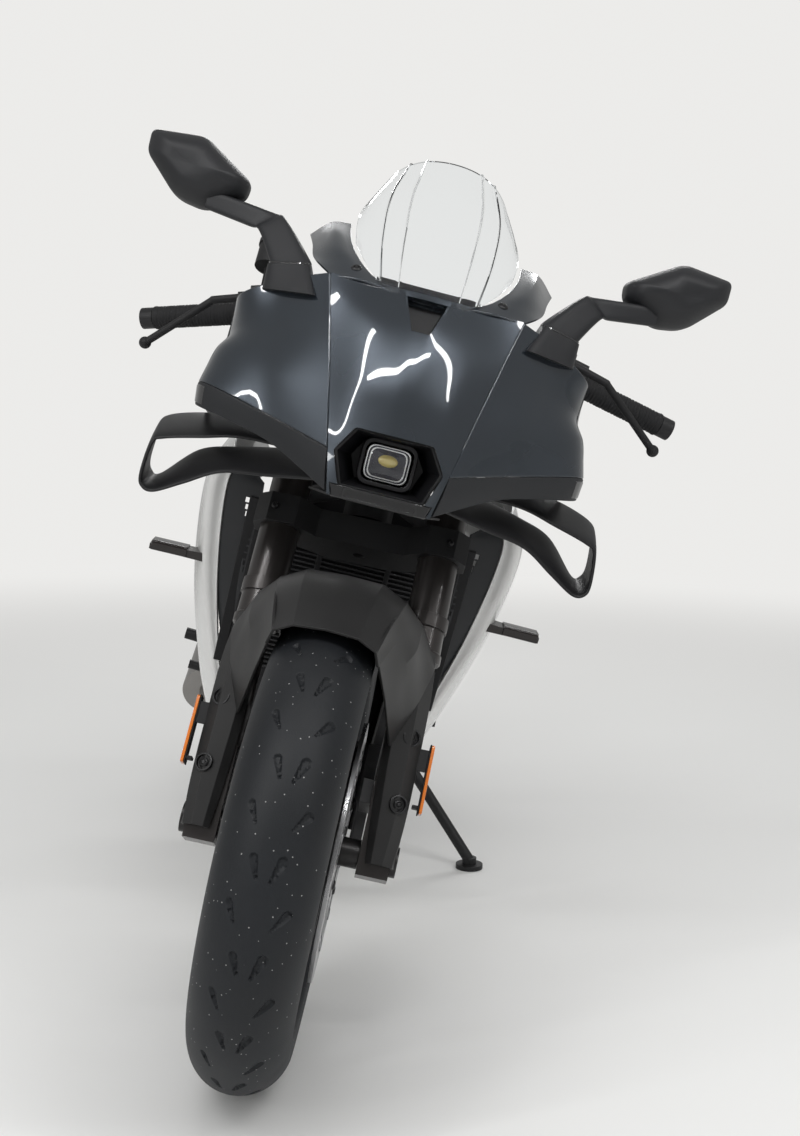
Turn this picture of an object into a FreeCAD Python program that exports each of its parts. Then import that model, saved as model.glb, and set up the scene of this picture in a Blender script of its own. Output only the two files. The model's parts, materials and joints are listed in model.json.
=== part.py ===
import FreeCAD, Part
import math
import os

from FreeCAD import Matrix, Placement, Rotation, Vector

# Sport bike with a full fairing, parked on its side stand.
# Everything is drawn upright in the bike's own frame: x runs forward from the front axle,
# y to the rider's left, z up from the ground. The fork and all it carries are drawn in the
# fork frame: origin at the front axle, z up the fork legs, x forward and square to them.
# The last step leans the bike onto its stand, turns the bars a little and faces it along -Y.

# Driving dimensions: name, value in mm or degrees, meaning
DIMENSIONS = [
    ("wheelbase", 1481, "front axle to rear axle"),
    ("front_radius", 300, "front tyre outer radius"),
    ("front_width", 120, "front tyre section width"),
    ("rear_radius", 315, "rear tyre outer radius"),
    ("rear_width", 180, "rear tyre section width"),
    ("seat_radius", 216, "radius of the rims' bead seats"),
    ("front_rim_half", 44.5, "half width between the front rim's flanges"),
    ("rear_rim_half", 70, "half width between the rear rim's flanges"),
    ("flange_thick", 5.5, "thickness of a rim flange"),
    ("flange_height", 15, "height of a rim flange over its seat"),
    ("tyre_wall", 9, "thickness of the tyre carcass"),
    ("front_shoulder", 0.27, "front tyre's widest point, as a share of the way from flange to crown"),
    ("rear_shoulder", 0.34, "rear tyre's widest point, as a share of the way from flange to crown"),
    ("spoke_pairs", 5, "number of spoke pairs in a wheel"),
    ("rake", 24.5, "steering axis from the vertical, degrees"),
    ("trail", 98, "ground trail of the front wheel"),
    ("lean", 13, "lean onto the side stand, degrees"),
    ("steer_turn", -5.2, "how far the bars are turned as parked, degrees, left positive"),
    ("leg_half", 108, "half distance between the fork legs"),
    ("inner_tube_radius", 21.5, "radius of the bright fork tubes"),
    ("outer_tube_radius", 27, "radius of the upper fork tubes"),
    ("fork_top", 715, "top of the fork tubes above the axle, along the legs"),
    ("stem_radius", 18, "radius of the steering stem"),
    ("axle_radius", 12.5, "radius of both wheel axles"),
    ("axle_bore", 8, "radius of the hole through both axles"),
    ("bearing_gap", 0.05, "radial running clearance of a shaft in its hub"),
    ("running_gap", 5, "clearance between moving pieces"),
    ("seam", 0.6, "gap between neighbouring panels"),
    ("skin", 3.6, "thickness of the fairing panels"),
    ("disc_radius", 160, "front brake disc radius"),
    ("disc_thick", 5, "brake disc thickness"),
    ("rear_disc_radius", 120, "rear brake disc radius"),
    ("chain_line", 107, "distance of the chain from the centre plane"),
    ("chain_pitch", 15.875, "pitch of the drive chain"),
    ("rear_teeth", 41, "teeth of the rear sprocket"),
    ("front_teeth", 16, "teeth of the gearbox sprocket"),
    ("pivot_back", 905, "swingarm pivot behind the front axle"),
    ("pivot_height", 396, "swingarm pivot above the ground"),
    ("frame_tube", 15, "radius of the frame tubes"),
    ("plate_inner", 125, "inner face of the frame's pivot plates from the centre plane"),
    ("plate_thick", 16, "thickness of the frame's pivot plates"),
    ("tank_floor", 812, "height of the fuel tank's flat bottom"),
    ("grip_radius", 17, "radius of the handlebar grips"),
    ("bar_radius", 11, "radius of the handlebar tubes"),
    ("stand_reach", 370, "side stand foot from the tyres' line, along the ground"),
    ("stand_ahead", 60, "side stand foot ahead of its pivot"),
    ("slat_count", 24, "louvres across the radiator"),
    ("peg_reach", 262, "outer end of the rider's footpegs from the centre plane"),
]

doc = FreeCAD.newDocument("sport_bike")
sheet = doc.addObject("Spreadsheet::Sheet", "Dimensions")
for row, (alias, number, meaning) in enumerate(DIMENSIONS, start=1):
    sheet.set("A%d" % row, alias)
    sheet.set("B%d" % row, str(number))
    sheet.set("C%d" % row, meaning)
    sheet.setAlias("B%d" % row, alias)
doc.recompute()


def size(alias):
    """The number in the sheet's cell of that alias."""
    return float(sheet.get(alias))


wheelbase = size("wheelbase")
skin = size("skin")
tiny = 0.3  # gap at rest between curved faces that seat on each other
front_r = size("front_radius")
rear_r = size("rear_radius")
pivot = (-size("pivot_back"), size("pivot_height"))
sprocket_ahead = 93  # gearbox sprocket's centre ahead of the swingarm's pivot
front_centre = (pivot[0] + sprocket_ahead, pivot[1])


def by_pivot(points):
    """Side-view points that are given from the swingarm's pivot."""
    return [(pivot[0] + x, pivot[1] + z) for x, z in points]


def by_rear_axle(points):
    """Side-view points that are given from the rear axle."""
    return [(-wheelbase + x, rear_r + z) for x, z in points]

# sub-part name to its document object, and the names that turn with the bars
subparts = {}
steered = set()


def keep(label, feature, turns=False):
    """Names a document object as a sub-part; one that turns is drawn in the fork frame."""
    feature.Label = label
    subparts[label] = feature
    if turns:
        steered.add(label)
    return feature


def feature_of(label, shape, turns=False):
    """A sub-part whose shape is made by Part's own functions."""
    feature = doc.addObject("Part::Feature", label)
    feature.Shape = shape
    return keep(label, feature, turns)


def wire_edges(outline, place):
    """Edges of a closed outline; a point marked "via" is the middle of an arc between its neighbours."""
    count = len(outline)
    edges = []
    for i, point in enumerate(outline):
        after = outline[(i + 1) % count]
        if point[-1] == "via":
            continue
        if after[-1] == "via":
            end = outline[(i + 2) % count]
            edges.append(Part.Arc(place(point), place(after), place(end)).toShape())
        else:
            edges.append(Part.LineSegment(place(point), place(after)).toShape())
    return edges


def flat_face(outline, place):
    return Part.Face(Part.Wire(wire_edges(outline, place)))


def side_plate(outline, y_from, y_to):
    """An outline in side view (x, z), thick from y_from to y_to."""
    face = flat_face(outline, lambda p: Vector(p[0], y_from, p[1]))
    return face.extrude(Vector(0, y_to - y_from, 0))


def front_plate(outline, x_from, x_to):
    """An outline in front view (y, z), thick from x_from to x_to."""
    face = flat_face(outline, lambda p: Vector(x_from, p[0], p[1]))
    return face.extrude(Vector(x_to - x_from, 0, 0))


def plan_plate(outline, z_from, z_to):
    """An outline in plan view (x, y), thick from z_from to z_to."""
    face = flat_face(outline, lambda p: Vector(p[0], p[1], z_from))
    return face.extrude(Vector(0, 0, z_to - z_from))


def loft(sections, ruled=True):
    """A solid through closed polygons of equal point counts."""
    wires = [Part.makePolygon(list(s) + [s[0]]) for s in sections]
    return Part.makeLoft(wires, True, ruled)


def fuse(shapes):
    whole = shapes[0]
    if len(shapes) > 1:
        whole = whole.multiFuse(shapes[1:])
    return whole.removeSplitter()


def rod(start, end, radius):
    """A round bar from one point to another."""
    along = Vector(end) - Vector(start)
    return Part.makeCylinder(radius, along.Length, Vector(start), along)


def bent_tube(points, radius, bend):
    """A round bar along straight runs joined by arcs of the bend radius."""
    points = [Vector(*p) for p in points]
    edges = []
    start = points[0]
    for before, corner, after in zip(points, points[1:], points[2:]):
        to_before = (before - corner).normalize()
        to_after = (after - corner).normalize()
        half_angle = to_before.getAngle(to_after) / 2
        cut = bend / math.tan(half_angle)
        first = corner + to_before * cut
        last = corner + to_after * cut
        bisector = (to_before + to_after).normalize()
        middle = corner + bisector * (bend / math.sin(half_angle) - bend)
        edges.append(Part.LineSegment(start, first).toShape())
        edges.append(Part.Arc(first, middle, last).toShape())
        start = last
    edges.append(Part.LineSegment(start, points[-1]).toShape())
    path = Part.Wire(edges)
    ring = Part.Wire(Part.makeCircle(radius, points[0], points[1] - points[0]))
    return path.makePipeShell([ring], True, False)


def mirrored(shape):
    """The same shape on the rider's other side."""
    return shape.mirror(Vector(0, 0, 0), Vector(0, 1, 0))


def both_sides(shape):
    return Part.makeCompound([shape, mirrored(shape)])


def new_body(label):
    return doc.addObject("PartDesign::Body", label)


def origin_plane(body, role):
    return next(f for f in body.Origin.OriginFeatures if f.Role == role)


def add_sketch(body, role, outlines, offset=0.0):
    """A sketch on one of the body's origin planes, moved along its normal by offset."""
    sketch = body.newObject("Sketcher::SketchObject", body.Name + "_sketch")
    sketch.AttachmentSupport = [(origin_plane(body, role), "")]
    sketch.MapMode = "FlatFace"
    sketch.AttachmentOffset = Placement(Vector(0, 0, offset), Rotation())
    for outline in outlines:
        if len(outline) == 3 and outline[0] == "circle":
            centre, radius = outline[1], outline[2]
            sketch.addGeometry(Part.Circle(Vector(centre[0], centre[1], 0), Vector(0, 0, 1), radius))
            continue
        count = len(outline)
        for i, point in enumerate(outline):
            after = outline[(i + 1) % count]
            if point[-1] == "via":
                continue
            a = Vector(point[0], point[1], 0)
            b = Vector(after[0], after[1], 0)
            if after[-1] == "via":
                end = outline[(i + 2) % count]
                sketch.addGeometry(Part.Arc(a, b, Vector(end[0], end[1], 0)))
            else:
                sketch.addGeometry(Part.LineSegment(a, b))
    return sketch


def pad(body, sketch, length, both=False, back=False):
    """A Pad whose length is a sheet expression, or a number."""
    feature = body.newObject("PartDesign::Pad", body.Name + "_pad")
    feature.Profile = sketch
    if isinstance(length, str):
        feature.setExpression("Length", length)
    else:
        feature.Length = length
    feature.Midplane = both
    feature.Reversed = back
    return feature


def revolve(body, sketch, axis="H_Axis"):
    """A full Revolution about the sketch's horizontal or vertical axis."""
    feature = body.newObject("PartDesign::Revolution", body.Name + "_turn")
    feature.Profile = sketch
    feature.ReferenceAxis = (sketch, [axis])
    feature.Angle = 360
    return feature


# Wheels, drawn about the y axis; x across the sketch is the wheel's width, y is its radius.
# A point (width, radius) is turned about the sketch's horizontal axis, which lies on the wheel's axle.

def tyre_outline(radius, width, rim_half, share):
    """The closed section of a tyre: bead, side wall, round crown, and the open inside."""
    wall = size("tyre_wall")
    seat = size("seat_radius") + tiny
    bead = rim_half - tiny
    over = seat + size("flange_height") + 3
    edge = width / 2
    shoulder = over + share * (radius - over)
    return [
        (bead - wall, seat),
        (bead, seat),
        (bead, over),
        (edge - 4, over + 3),
        (edge, shoulder),
        (0, radius, "via"),
        (-edge, shoulder),
        (-edge + 4, over + 3),
        (-bead, over),
        (-bead, seat),
        (-bead + wall, seat),
        (-bead + wall, over + 4),
        (-edge + wall, shoulder),
        (0, radius - wall, "via"),
        (edge - wall, shoulder),
        (bead - wall, over + 4),
    ]


def crown_radius(end):
    """Radius of the arc that the front or rear tyre's crown is drawn with."""
    radius = size(end + "_radius")
    edge, shoulder = tyre_outline(radius, size(end + "_width"), size(end + "_rim_half"), size(end + "_shoulder"))[4]
    rise = radius - shoulder
    return (edge * edge + rise * rise) / (2 * rise)


def make_tyre(end, turns=False):
    """The front or rear tyre, revolved about its axle."""
    body = new_body(end + "_tyre")
    section = tyre_outline(size(end + "_radius"), size(end + "_width"), size(end + "_rim_half"), size(end + "_shoulder"))
    revolve(body, add_sketch(body, "YZ_Plane", [section]))
    return keep(end + "_tyre", body, turns)


def rim_shape(rim_half, hub_half, hub_radius, bore, tangent_half, spoke_depth):
    """A cast wheel: drop-centre barrel, hub and paired spokes that fork out to the barrel."""
    seat = size("seat_radius")
    flange = size("flange_thick")
    top = seat + size("flange_height")
    outer = rim_half + flange
    well = rim_half * 0.45
    barrel = [
        (outer, top), (rim_half, top), (rim_half, seat), (rim_half - 15, seat), (well, seat - 14),
        (-well, seat - 14), (-rim_half + 15, seat), (-rim_half, seat), (-rim_half, top), (-outer, top),
        (-outer, seat - 9), (-rim_half + 13, seat - 9), (-well + 2, seat - 22),
        (well - 2, seat - 22), (rim_half - 13, seat - 9), (outer, seat - 9),
    ]
    axis = Vector(0, 1, 0)
    ring = flat_face(barrel, lambda p: Vector(0, p[0], p[1])).revolve(Vector(), axis, 360)
    hub = rod((0, -hub_half, 0), (0, hub_half, 0), hub_radius)
    waist = rod((0, -hub_half * 0.62, 0), (0, hub_half * 0.62, 0), hub_radius + 10)
    pairs = int(size("spoke_pairs"))
    spokes = []
    root_r, rim_r = hub_radius - 2, seat - 20
    for side in (-1, 1):
        root = [(side * 3 + dx, y) for dx, y in ((-tangent_half, -spoke_depth), (tangent_half, -spoke_depth),
                                                 (tangent_half, spoke_depth), (-tangent_half, spoke_depth))]
        tip_depth = min(spoke_depth * 0.72, well)
        tip = [(side * 46 + dx, y) for dx, y in ((-9, -tip_depth), (9, -tip_depth), (9, tip_depth), (-9, tip_depth))]
        spokes.append(loft([
            [Vector(x, y, root_r) for x, y in root],
            [Vector(side * 20 + (x - side * 3) * 0.75, y * 0.86, (root_r + rim_r) * 0.52) for x, y in root],
            [Vector(x, y, rim_r) for x, y in tip],
        ]))
    pieces = [ring, hub, waist]
    for i in range(pairs):
        for spoke in spokes:
            turned = spoke.copy()
            turned.rotate(Vector(), axis, 360.0 * i / pairs)
            pieces.append(turned)
    whole = fuse(pieces)
    return whole.cut(rod((0, -hub_half - 1, 0), (0, hub_half + 1, 0), bore))


def disc_shape(radius, band, inner, y_inner, thick, arms):
    """A brake disc: a braking band carried on arms by an inner ring."""
    axis = Vector(0, 1, 0)
    def ring(outer, hole):
        return Part.makeCylinder(outer, thick, Vector(0, y_inner, 0), axis).cut(
            Part.makeCylinder(hole, thick, Vector(0, y_inner, 0), axis))
    pieces = [ring(radius, radius - band), ring(inner + 12, inner)]
    for i in range(arms):
        arm = Part.makeBox(14, thick, radius - band - inner + 2, Vector(-7, y_inner, inner + 6))
        arm.rotate(Vector(), axis, 360.0 * i / arms)
        pieces.append(arm)
    return fuse(pieces)


front_hub_half = 60
front_hub_radius = 33
rear_hub_half = 78
axle_radius = size("axle_radius")
bore = axle_radius + size("bearing_gap")

make_tyre("front", True)
feature_of("front_rim", rim_shape(size("front_rim_half"), front_hub_half, front_hub_radius, bore, 12, 17), True)
front_disc = disc_shape(size("disc_radius"), 34, 50, front_hub_half, size("disc_thick"), 10)
front_flange = Part.makeCylinder(62, 4, Vector(0, front_hub_half - 4, 0), Vector(0, 1, 0)).cut(
    Part.makeCylinder(front_hub_radius, 4, Vector(0, front_hub_half - 4, 0), Vector(0, 1, 0)))
front_rim_object = subparts["front_rim"]
front_rim_object.Shape = fuse([front_rim_object.Shape, front_flange, mirrored(front_flange)])
feature_of("front_discs", both_sides(front_disc), True)

make_tyre("rear")
rear_flange = rod((0, rear_hub_half - 10, 0), (0, rear_hub_half, 0), 64)
rear_flange = rear_flange.cut(rod((0, rear_hub_half - 11, 0), (0, rear_hub_half + 1, 0), 30))
feature_of("rear_rim", fuse([
    rim_shape(size("rear_rim_half"), rear_hub_half, 36, bore, 15, 26),
    rear_flange,
    mirrored(rear_flange),
]))
rear_disc = mirrored(disc_shape(size("rear_disc_radius"), 30, 40, rear_hub_half, size("disc_thick"), 6))
feature_of("rear_disc", rear_disc)



# Fork frame: how the pieces that turn with the bars stand in the bike's frame
rake = math.radians(size("rake"))
stem_x = -(size("front_radius") * math.sin(rake) - size("trail") * math.cos(rake))
fork_place = Placement(Vector(0, 0, size("front_radius")), Rotation(Vector(0, 1, 0), -size("rake")))


def to_fork(x, y, z):
    """A point of the bike's frame in the fork frame."""
    return fork_place.inverse().multVec(Vector(x, y, z))


def in_bike(shape):
    """A shape drawn in the fork frame, moved to the bike's frame with the bars straight."""
    moved = shape.copy()
    moved.transformShape(fork_place.toMatrix(), True)
    return moved


def biggest(shape, count=1):
    """The largest solids of a shape."""
    solids = sorted(shape.Solids, key=lambda s: -s.Volume)[:count]
    return solids[0] if count == 1 else Part.makeCompound(solids)


def triangle(a, b, c):
    return Part.Face(Part.makePolygon([a, b, c, a]))


def panel(grid, depth):
    """A fairing panel: rows of points on its outer face, thickened by depth along the facets' normals."""
    rows = [[Vector(*p) for p in row] for row in grid]
    m, n = len(rows), len(rows[0])
    normals = [[Vector() for _ in range(n)] for _ in range(m)]
    for i in range(m - 1):
        for j in range(n - 1):
            a, b, c, d = rows[i][j], rows[i][j + 1], rows[i + 1][j + 1], rows[i + 1][j]
            facet = (c - a).cross(d - b)
            if facet.Length > 1e-6:
                facet.normalize()
            for k, l in ((i, j), (i, j + 1), (i + 1, j + 1), (i + 1, j)):
                normals[k][l] = normals[k][l] + facet
    under = []
    for i in range(m):
        under.append([rows[i][j] + normals[i][j].normalize() * depth for j in range(n)])
    faces = []
    for i in range(m - 1):
        for j in range(n - 1):
            for g, order in ((rows, 1), (under, -1)):
                a, b, c, d = g[i][j], g[i][j + 1], g[i + 1][j + 1], g[i + 1][j]
                pair = ((a, b, c), (a, c, d))
                faces += [triangle(*t[::order]) for t in pair]
    rim = [(0, j) for j in range(n)] + [(i, n - 1) for i in range(1, m)]
    rim += [(m - 1, j) for j in range(n - 2, -1, -1)] + [(i, 0) for i in range(m - 2, 0, -1)]
    for (i, j), (k, l) in zip(rim, rim[1:] + rim[:1]):
        a, b, c, d = rows[i][j], rows[k][l], under[k][l], under[i][j]
        faces += [triangle(a, c, b), triangle(a, d, c)]
    shell = Part.makeShell(faces)
    shell.sewShape()
    solid = Part.makeSolid(shell)
    if solid.Volume < 0:
        solid.reverse()
    return solid.removeSplitter()


def sided(label, shape, turns=False):
    """Left and right sub-parts from the left one."""
    feature_of(label + "_left", shape, turns)
    feature_of(label + "_right", mirrored(shape), turns)


def box(x, y, z):
    """A block from its ranges along the three axes."""
    return Part.makeBox(x[1] - x[0], y[1] - y[0], z[1] - z[0], Vector(x[0], y[0], z[0]))


# Fork and steering, in the fork frame
leg = size("leg_half")
tube = size("inner_tube_radius")
upper = size("outer_tube_radius")
stem = size("stem_radius")
fork_top = size("fork_top")

# front axle: hollow, with a collar between hub and fork foot on each side and a head outside
axle = new_body("front_axle")
outline = [
    (-136, size("axle_bore")), (136, size("axle_bore")), (136, 19), (128.3, 19), (128.3, axle_radius),
    (87.7, axle_radius), (87.7, 18), (60.6, 18), (60.6, axle_radius), (-60.6, axle_radius), (-60.6, 18),
    (-87.7, 18), (-87.7, axle_radius), (-128.3, axle_radius), (-128.3, 19), (-136, 19),
]
revolve(axle, add_sketch(axle, "YZ_Plane", [outline]))
keep("front_axle", axle, True)

# lower fork leg: bright tube and axle foot
foot = side_plate([(-20, -26), (20, -26), (25, 20), (25, 96), (-25, 96), (-25, 20)], leg - 20, leg + 20)
slider = fuse([foot, rod((0, leg, 94), (0, leg, 400), tube)])
slider = slider.cut(rod((0, 60, 0), (0, 160, 0), axle_radius + tiny))
feature_of("fork_sliders", both_sides(slider), True)

outer = rod((0, leg, 300), (0, leg, fork_top), upper)
outer = fuse([outer, rod((0, leg, 300), (0, leg, 318), upper + 3)])
outer = outer.cut(rod((0, leg, 299), (0, leg, fork_top - 14), tube + tiny))
feature_of("fork_tubes", both_sides(outer), True)


def clamp(label, z_low, z_high, boss, waist, with_stem):
    """A fork clamp around both tubes and the stem's place."""
    body = new_body(label)
    grip = [
        (boss * 0.9, -leg - 18), (boss * 0.9, -leg + 20), (waist, -60), (waist, 60), (boss * 0.9, leg - 20),
        (boss * 0.9, leg + 18), (boss * 0.4, leg + boss), (-boss * 0.5, leg + boss), (-boss, leg + 16),
        (stem_x - boss, 42), (stem_x - boss, -42), (-boss, -leg - 16), (-boss * 0.5, -leg - boss),
        (boss * 0.4, -leg - boss),
    ]
    holes = [("circle", (0, leg), upper + tiny), ("circle", (0, -leg), upper + tiny)]
    holes.append(("circle", (stem_x, 0), size("axle_bore") if with_stem else stem + tiny))
    sketch = add_sketch(body, "XY_Plane", [grip] + holes, z_low)
    pad(body, sketch, z_high - z_low)
    if with_stem:
        ring = [("circle", (stem_x, 0), stem), ("circle", (stem_x, 0), size("axle_bore"))]
        pad(body, add_sketch(body, "XY_Plane", ring, z_high - 1), 690 - z_high + 1)
    else:
        ring = [("circle", (stem_x, 0), 24), ("circle", (stem_x, 0), stem + tiny)]
        pad(body, add_sketch(body, "XY_Plane", ring, z_high - 1), 13)
    return keep(label, body, True)


clamp("lower_clamp", 395, 435, 36, 4, True)
clamp("upper_clamp", 655, 675, 36, 10, False)

# handlebars: a clip-on clamp over each fork tube, its riser and the bar with its end weight
grip_inner = to_fork(-400, 258, 945)
grip_outer = to_fork(-430, 388, 914)
along = (grip_outer - grip_inner).normalize()
bar_root = grip_inner - along * 105
ring = Part.makeCylinder(37, 28, Vector(0, leg, 680)).cut(Part.makeCylinder(upper + tiny, 28, Vector(0, leg, 680)))
riser = rod((0, leg + 36, 694), bar_root, 12)
knuckle = rod(bar_root - along * 8, bar_root + along * 34, 17)
bar = rod(bar_root, grip_outer, size("bar_radius"))
weight = rod(grip_outer + along * 2, grip_outer + along * 22, 16)
bar_end = rod(grip_outer, grip_outer + along * 2, size("bar_radius"))
bars = fuse([ring, riser, knuckle, bar, bar_end, weight])
bars = bars.cut(Part.makeCylinder(upper + tiny, 60, Vector(0, leg, 660)))
feature_of("handlebars", both_sides(bars), True)
grip = rod(grip_inner, grip_outer + along * 1.5, size("grip_radius"))
grip = fuse([grip, rod(grip_inner, grip_inner + along * 6, 21)])
grip = grip.cut(rod(grip_inner - along, grip_outer + along * 2, size("bar_radius") + tiny))
feature_of("grips", both_sides(grip), True)

# switch pod, lever perch and lever; the right side also has the brake fluid reservoir
up = Vector(0, 0, 1)
ahead = along.cross(up).normalize()
if ahead.x < 0:
    ahead = ahead * -1
lift = ahead.cross(along).normalize()
if lift.z < 0:
    lift = lift * -1


def by_bar(reach, out, height):
    """A point by the bar: forward, outward from the grip's inner end, and up."""
    return grip_inner + ahead * reach + along * out + lift * height


def bar_block(reach, out, height):
    """A block in the bar's own directions."""
    corners = [by_bar(r, o, h) for r in reach for o in out for h in height]
    a, b, c, d, e, f, g, h = corners
    quads = [(a, b, d, c), (e, g, h, f), (a, e, f, b), (c, d, h, g), (a, c, g, e), (b, f, h, d)]
    solid = Part.makeSolid(Part.makeShell([Part.Face(Part.makePolygon(list(q) + [q[0]])) for q in quads]))
    if solid.Volume < 0:
        solid.reverse()
    return solid


pod = bar_block((-20, 24), (-34, -1), (-18, 22))
perch = bar_block((8, 58), (-58, -36), (-14, 8))
collar = rod(by_bar(0, -60, 0), by_bar(0, -34, 0), 18)
lever_root = by_bar(48, -46, -4)
lever_tip = to_fork(-350, 379, 871)
elbow = by_bar(62, 18, -16)
lever = fuse([rod(lever_root, elbow, 6), Part.makeSphere(6, elbow), rod(elbow, lever_tip, 5.5), Part.makeSphere(9, lever_tip)])
hole = rod(by_bar(0, -80, 0), by_bar(0, 60, 0), size("bar_radius") + tiny)
control = fuse([pod, perch, collar, lever]).cut(hole)
cup_at = by_bar(66, -64, 30)
cup = fuse([Part.makeCylinder(22, 34, cup_at), Part.makeCylinder(24, 8, cup_at + up * 34), rod(by_bar(40, -50, 0), cup_at + up * 6, 7)])
control_right = mirrored(fuse([pod, perch, collar, lever, cup]).cut(hole))
feature_of("bar_controls", Part.makeCompound([control, control_right]), True)

# front mudguard: sections at angles ahead of the fork legs, half section as (width, radius)
GUARD = [
    # angle, then four points from the crown outwards: half width, height over the tyre's crown
    (-66, [(0, 22), (40, 20), (64, 2), (68, -24)]),
    (-30, [(0, 30), (45, 28), (70, 10), (75, -18)]),
    (0, [(0, 38), (50, 36), (80, 22), (86, -12)]),
    (28, [(0, 38), (48, 35), (70, 18), (75, -16)]),
    (53, [(0, 16), (40, 12), (56, 0), (58, -22)]),
]
arch_rows = []
for angle, line in GUARD:
    full = [(-w, over) for w, over in line[:0:-1]] + list(line)
    turn = math.radians(angle)
    arch_rows.append([((front_r + h) * math.sin(turn), w, (front_r + h) * math.cos(turn)) for w, h in full])
arch = panel(arch_rows, 3.2)
if arch.BoundBox.ZMax > front_r + 39:
    arch = panel(arch_rows, -3.2)
# fork guards: height along the leg, then the plan section as (forward, width)
SHIELD = [
    (-12, [(23, 131), (30, 128), (38, 116), (36, 100), (29, 90)]),
    (90, [(-4, 133), (29, 133), (42, 120), (42, 98), (30, 86)]),
    (200, [(-10, 134), (30, 133), (44, 118), (42, 92), (30, 80)]),
    (292, [(-6, 133), (20, 130), (30, 112), (26, 80), (18, 70)]),
]
shield_rows = [[(x, y, z) for x, y in line] for z, line in SHIELD]
shield = panel(shield_rows, 3.2)
if shield.BoundBox.XMax > 44.5:
    shield = panel(shield_rows, -3.2)
strut = box((-8, 8), (leg + tube + tiny, 132), (226, 246))
lug = box((22, 33), (96, 120), (60, 84))
lug = lug.cut(box((0, 25 + tiny), (0, 200), (0, 200)))
bracket = box((26, 29), (129, 158), (58, 150))
guards = [arch]
for piece in (shield, strut, lug, bracket):
    guards += [piece, mirrored(piece)]
mudguard = fuse(guards).cut(both_sides(rod((0, leg, 50), (0, leg, 400), tube + tiny)))
mudguard = mudguard.cut(both_sides(rod((0, leg, 292), (0, leg, 420), upper + 5))).cut(subparts["fork_sliders"].Shape)
feature_of("front_mudguard", biggest(mudguard), True)
feature_of("fork_reflectors", both_sides(box((29, 34), (137, 157), (60, 148))), True)

# front calipers behind the fork legs: side outline, cut for the disc
caliper = side_plate([(-36, 116), (-64, 152), (-122, 138), (-164, 78), (-152, 26), (-112, 20), (-92, 64), (-50, 96)], 42, 86)
caliper = fuse([caliper, box((-66, 14), (74, 87.7), (62, 92))])
disc_slot = rod((0, 55, 0), (0, 70, 0), size("disc_radius") + size("running_gap"))
caliper = caliper.cut(disc_slot).cut(rod((0, 0, 0), (0, 73, 0), 112))
feature_of("front_calipers", both_sides(biggest(caliper)), True)


# Main frame: head tube, side tubes, pivot plates and the side stand's bracket
frame_r = size("frame_tube")
plate_in = size("plate_inner")
plate_out = plate_in + size("plate_thick")
head_low, head_high = 440, 650  # ends of the head tube, up the steering axis
shock_eye = by_pivot([(37, 164)])[0]
tube_end = by_pivot([(37, 149)])[0]


def on_head(forward, side, height):
    """A point beside the head tube, in the bike's frame."""
    at = fork_place.multVec(Vector(stem_x + forward, side, height))
    return (at.x, at.y, at.z)


head = in_bike(rod((stem_x, 0, head_low), (stem_x, 0, head_high), 34))
upper_tube = bent_tube([on_head(6, 20, 569), (-420, 120, 785), (-690, 128, 690), (tube_end[0], 133, tube_end[1])], frame_r, 60)
lower_tube = bent_tube([on_head(-3, 20, 495), (-390, 124, 682), (-560, 131, 655), (-720, 130, 655)], frame_r - 2, 50)
brace = rod((-420, 120, 785), (-400, 123, 681), frame_r - 4)
brace_mid = rod((-640, 127, 707), (-560, 131, 655), frame_r - 4)
plate = side_plate(by_pivot([
    (59, 194), (21, 200), (-45, 124), (-47, -24), (-25, -74), (43, -74), (37, 4), (63, 84),
]), plate_in, plate_out)
stand_plate = side_plate(by_pivot([(-15, -66), (9, -156), (43, -170), (73, -162), (77, -134), (43, -66)]), plate_in, plate_out)
mount_top = box((-620, -596), (98 + tiny, 128), (636, 664))
half_frame = [upper_tube, lower_tube, brace, brace_mid, plate, mount_top]
pieces = [head, stand_plate] + half_frame + [mirrored(p) for p in half_frame]
pieces.append(rod((shock_eye[0], -plate_in - 4, shock_eye[1]), (shock_eye[0], plate_in + 4, shock_eye[1]), 13))
pieces.append(rod((pivot[0], -plate_out, pivot[1]), (pivot[0], plate_out, pivot[1]), 12))
for side in (-1, 1):
    pieces.append(box((-760, -716), (min(side * 100, side * 130), max(side * 100, side * 130)), (662, 700)))
    pieces.append(box((-470, -430), (min(side * 60, side * 122), max(side * 60, side * 122)), (790, 811.6)))
gusset = side_plate([on_head(f, 0, h)[::2] for f, h in ((-8, 497), (-87, 532), (-58, 594), (14, 560))], -22, 22)
pieces.append(gusset)
frame_shape = fuse(pieces)
frame_shape = frame_shape.cut(in_bike(rod((stem_x, 0, head_low - 10), (stem_x, 0, head_high + 10), stem + size("bearing_gap"))))
feature_of("main_frame", frame_shape)

# Engine: one plain block with its head, side covers and oil pan
block = side_plate([(-480, 300), (-560, 262), (-760, 262), (-842, 310), (-842, 470), (-795, 540), (-640, 562), (-470, 560)], -100, 88)
cylinder_head = side_plate([(-640, 555), (-470, 555), (-440, 728), (-606, 748)], -98, 98)
cover_left = rod((-560, 88, 380), (-560, 128, 380), 72)
cover_right = rod((-640, -145, 385), (-640, -100, 385), 84)
cover_small = rod((-530, -132, 440), (-530, -100, 440), 48)
cover_in, cover_out = size("chain_line") + 12, plate_in - tiny
sprocket_cover = side_plate(by_pivot([
    (145, -66), (115, -96), (55, -84), (43, -66), (37, 4), (55, 59), (115, 74), (145, 44),
]), cover_in, cover_out)
cover_post = box((pivot[0] + 141, pivot[0] + 165), (88, cover_out), (pivot[1] - 66, pivot[1] + 44))
oil_pan = side_plate([(-580, 228), (-740, 228), (-752, 264), (-566, 264)], -70, 70)
engine = fuse([block, cylinder_head, cover_left, cover_right, cover_small, sprocket_cover, cover_post, oil_pan])
feature_of("engine", engine)

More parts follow.
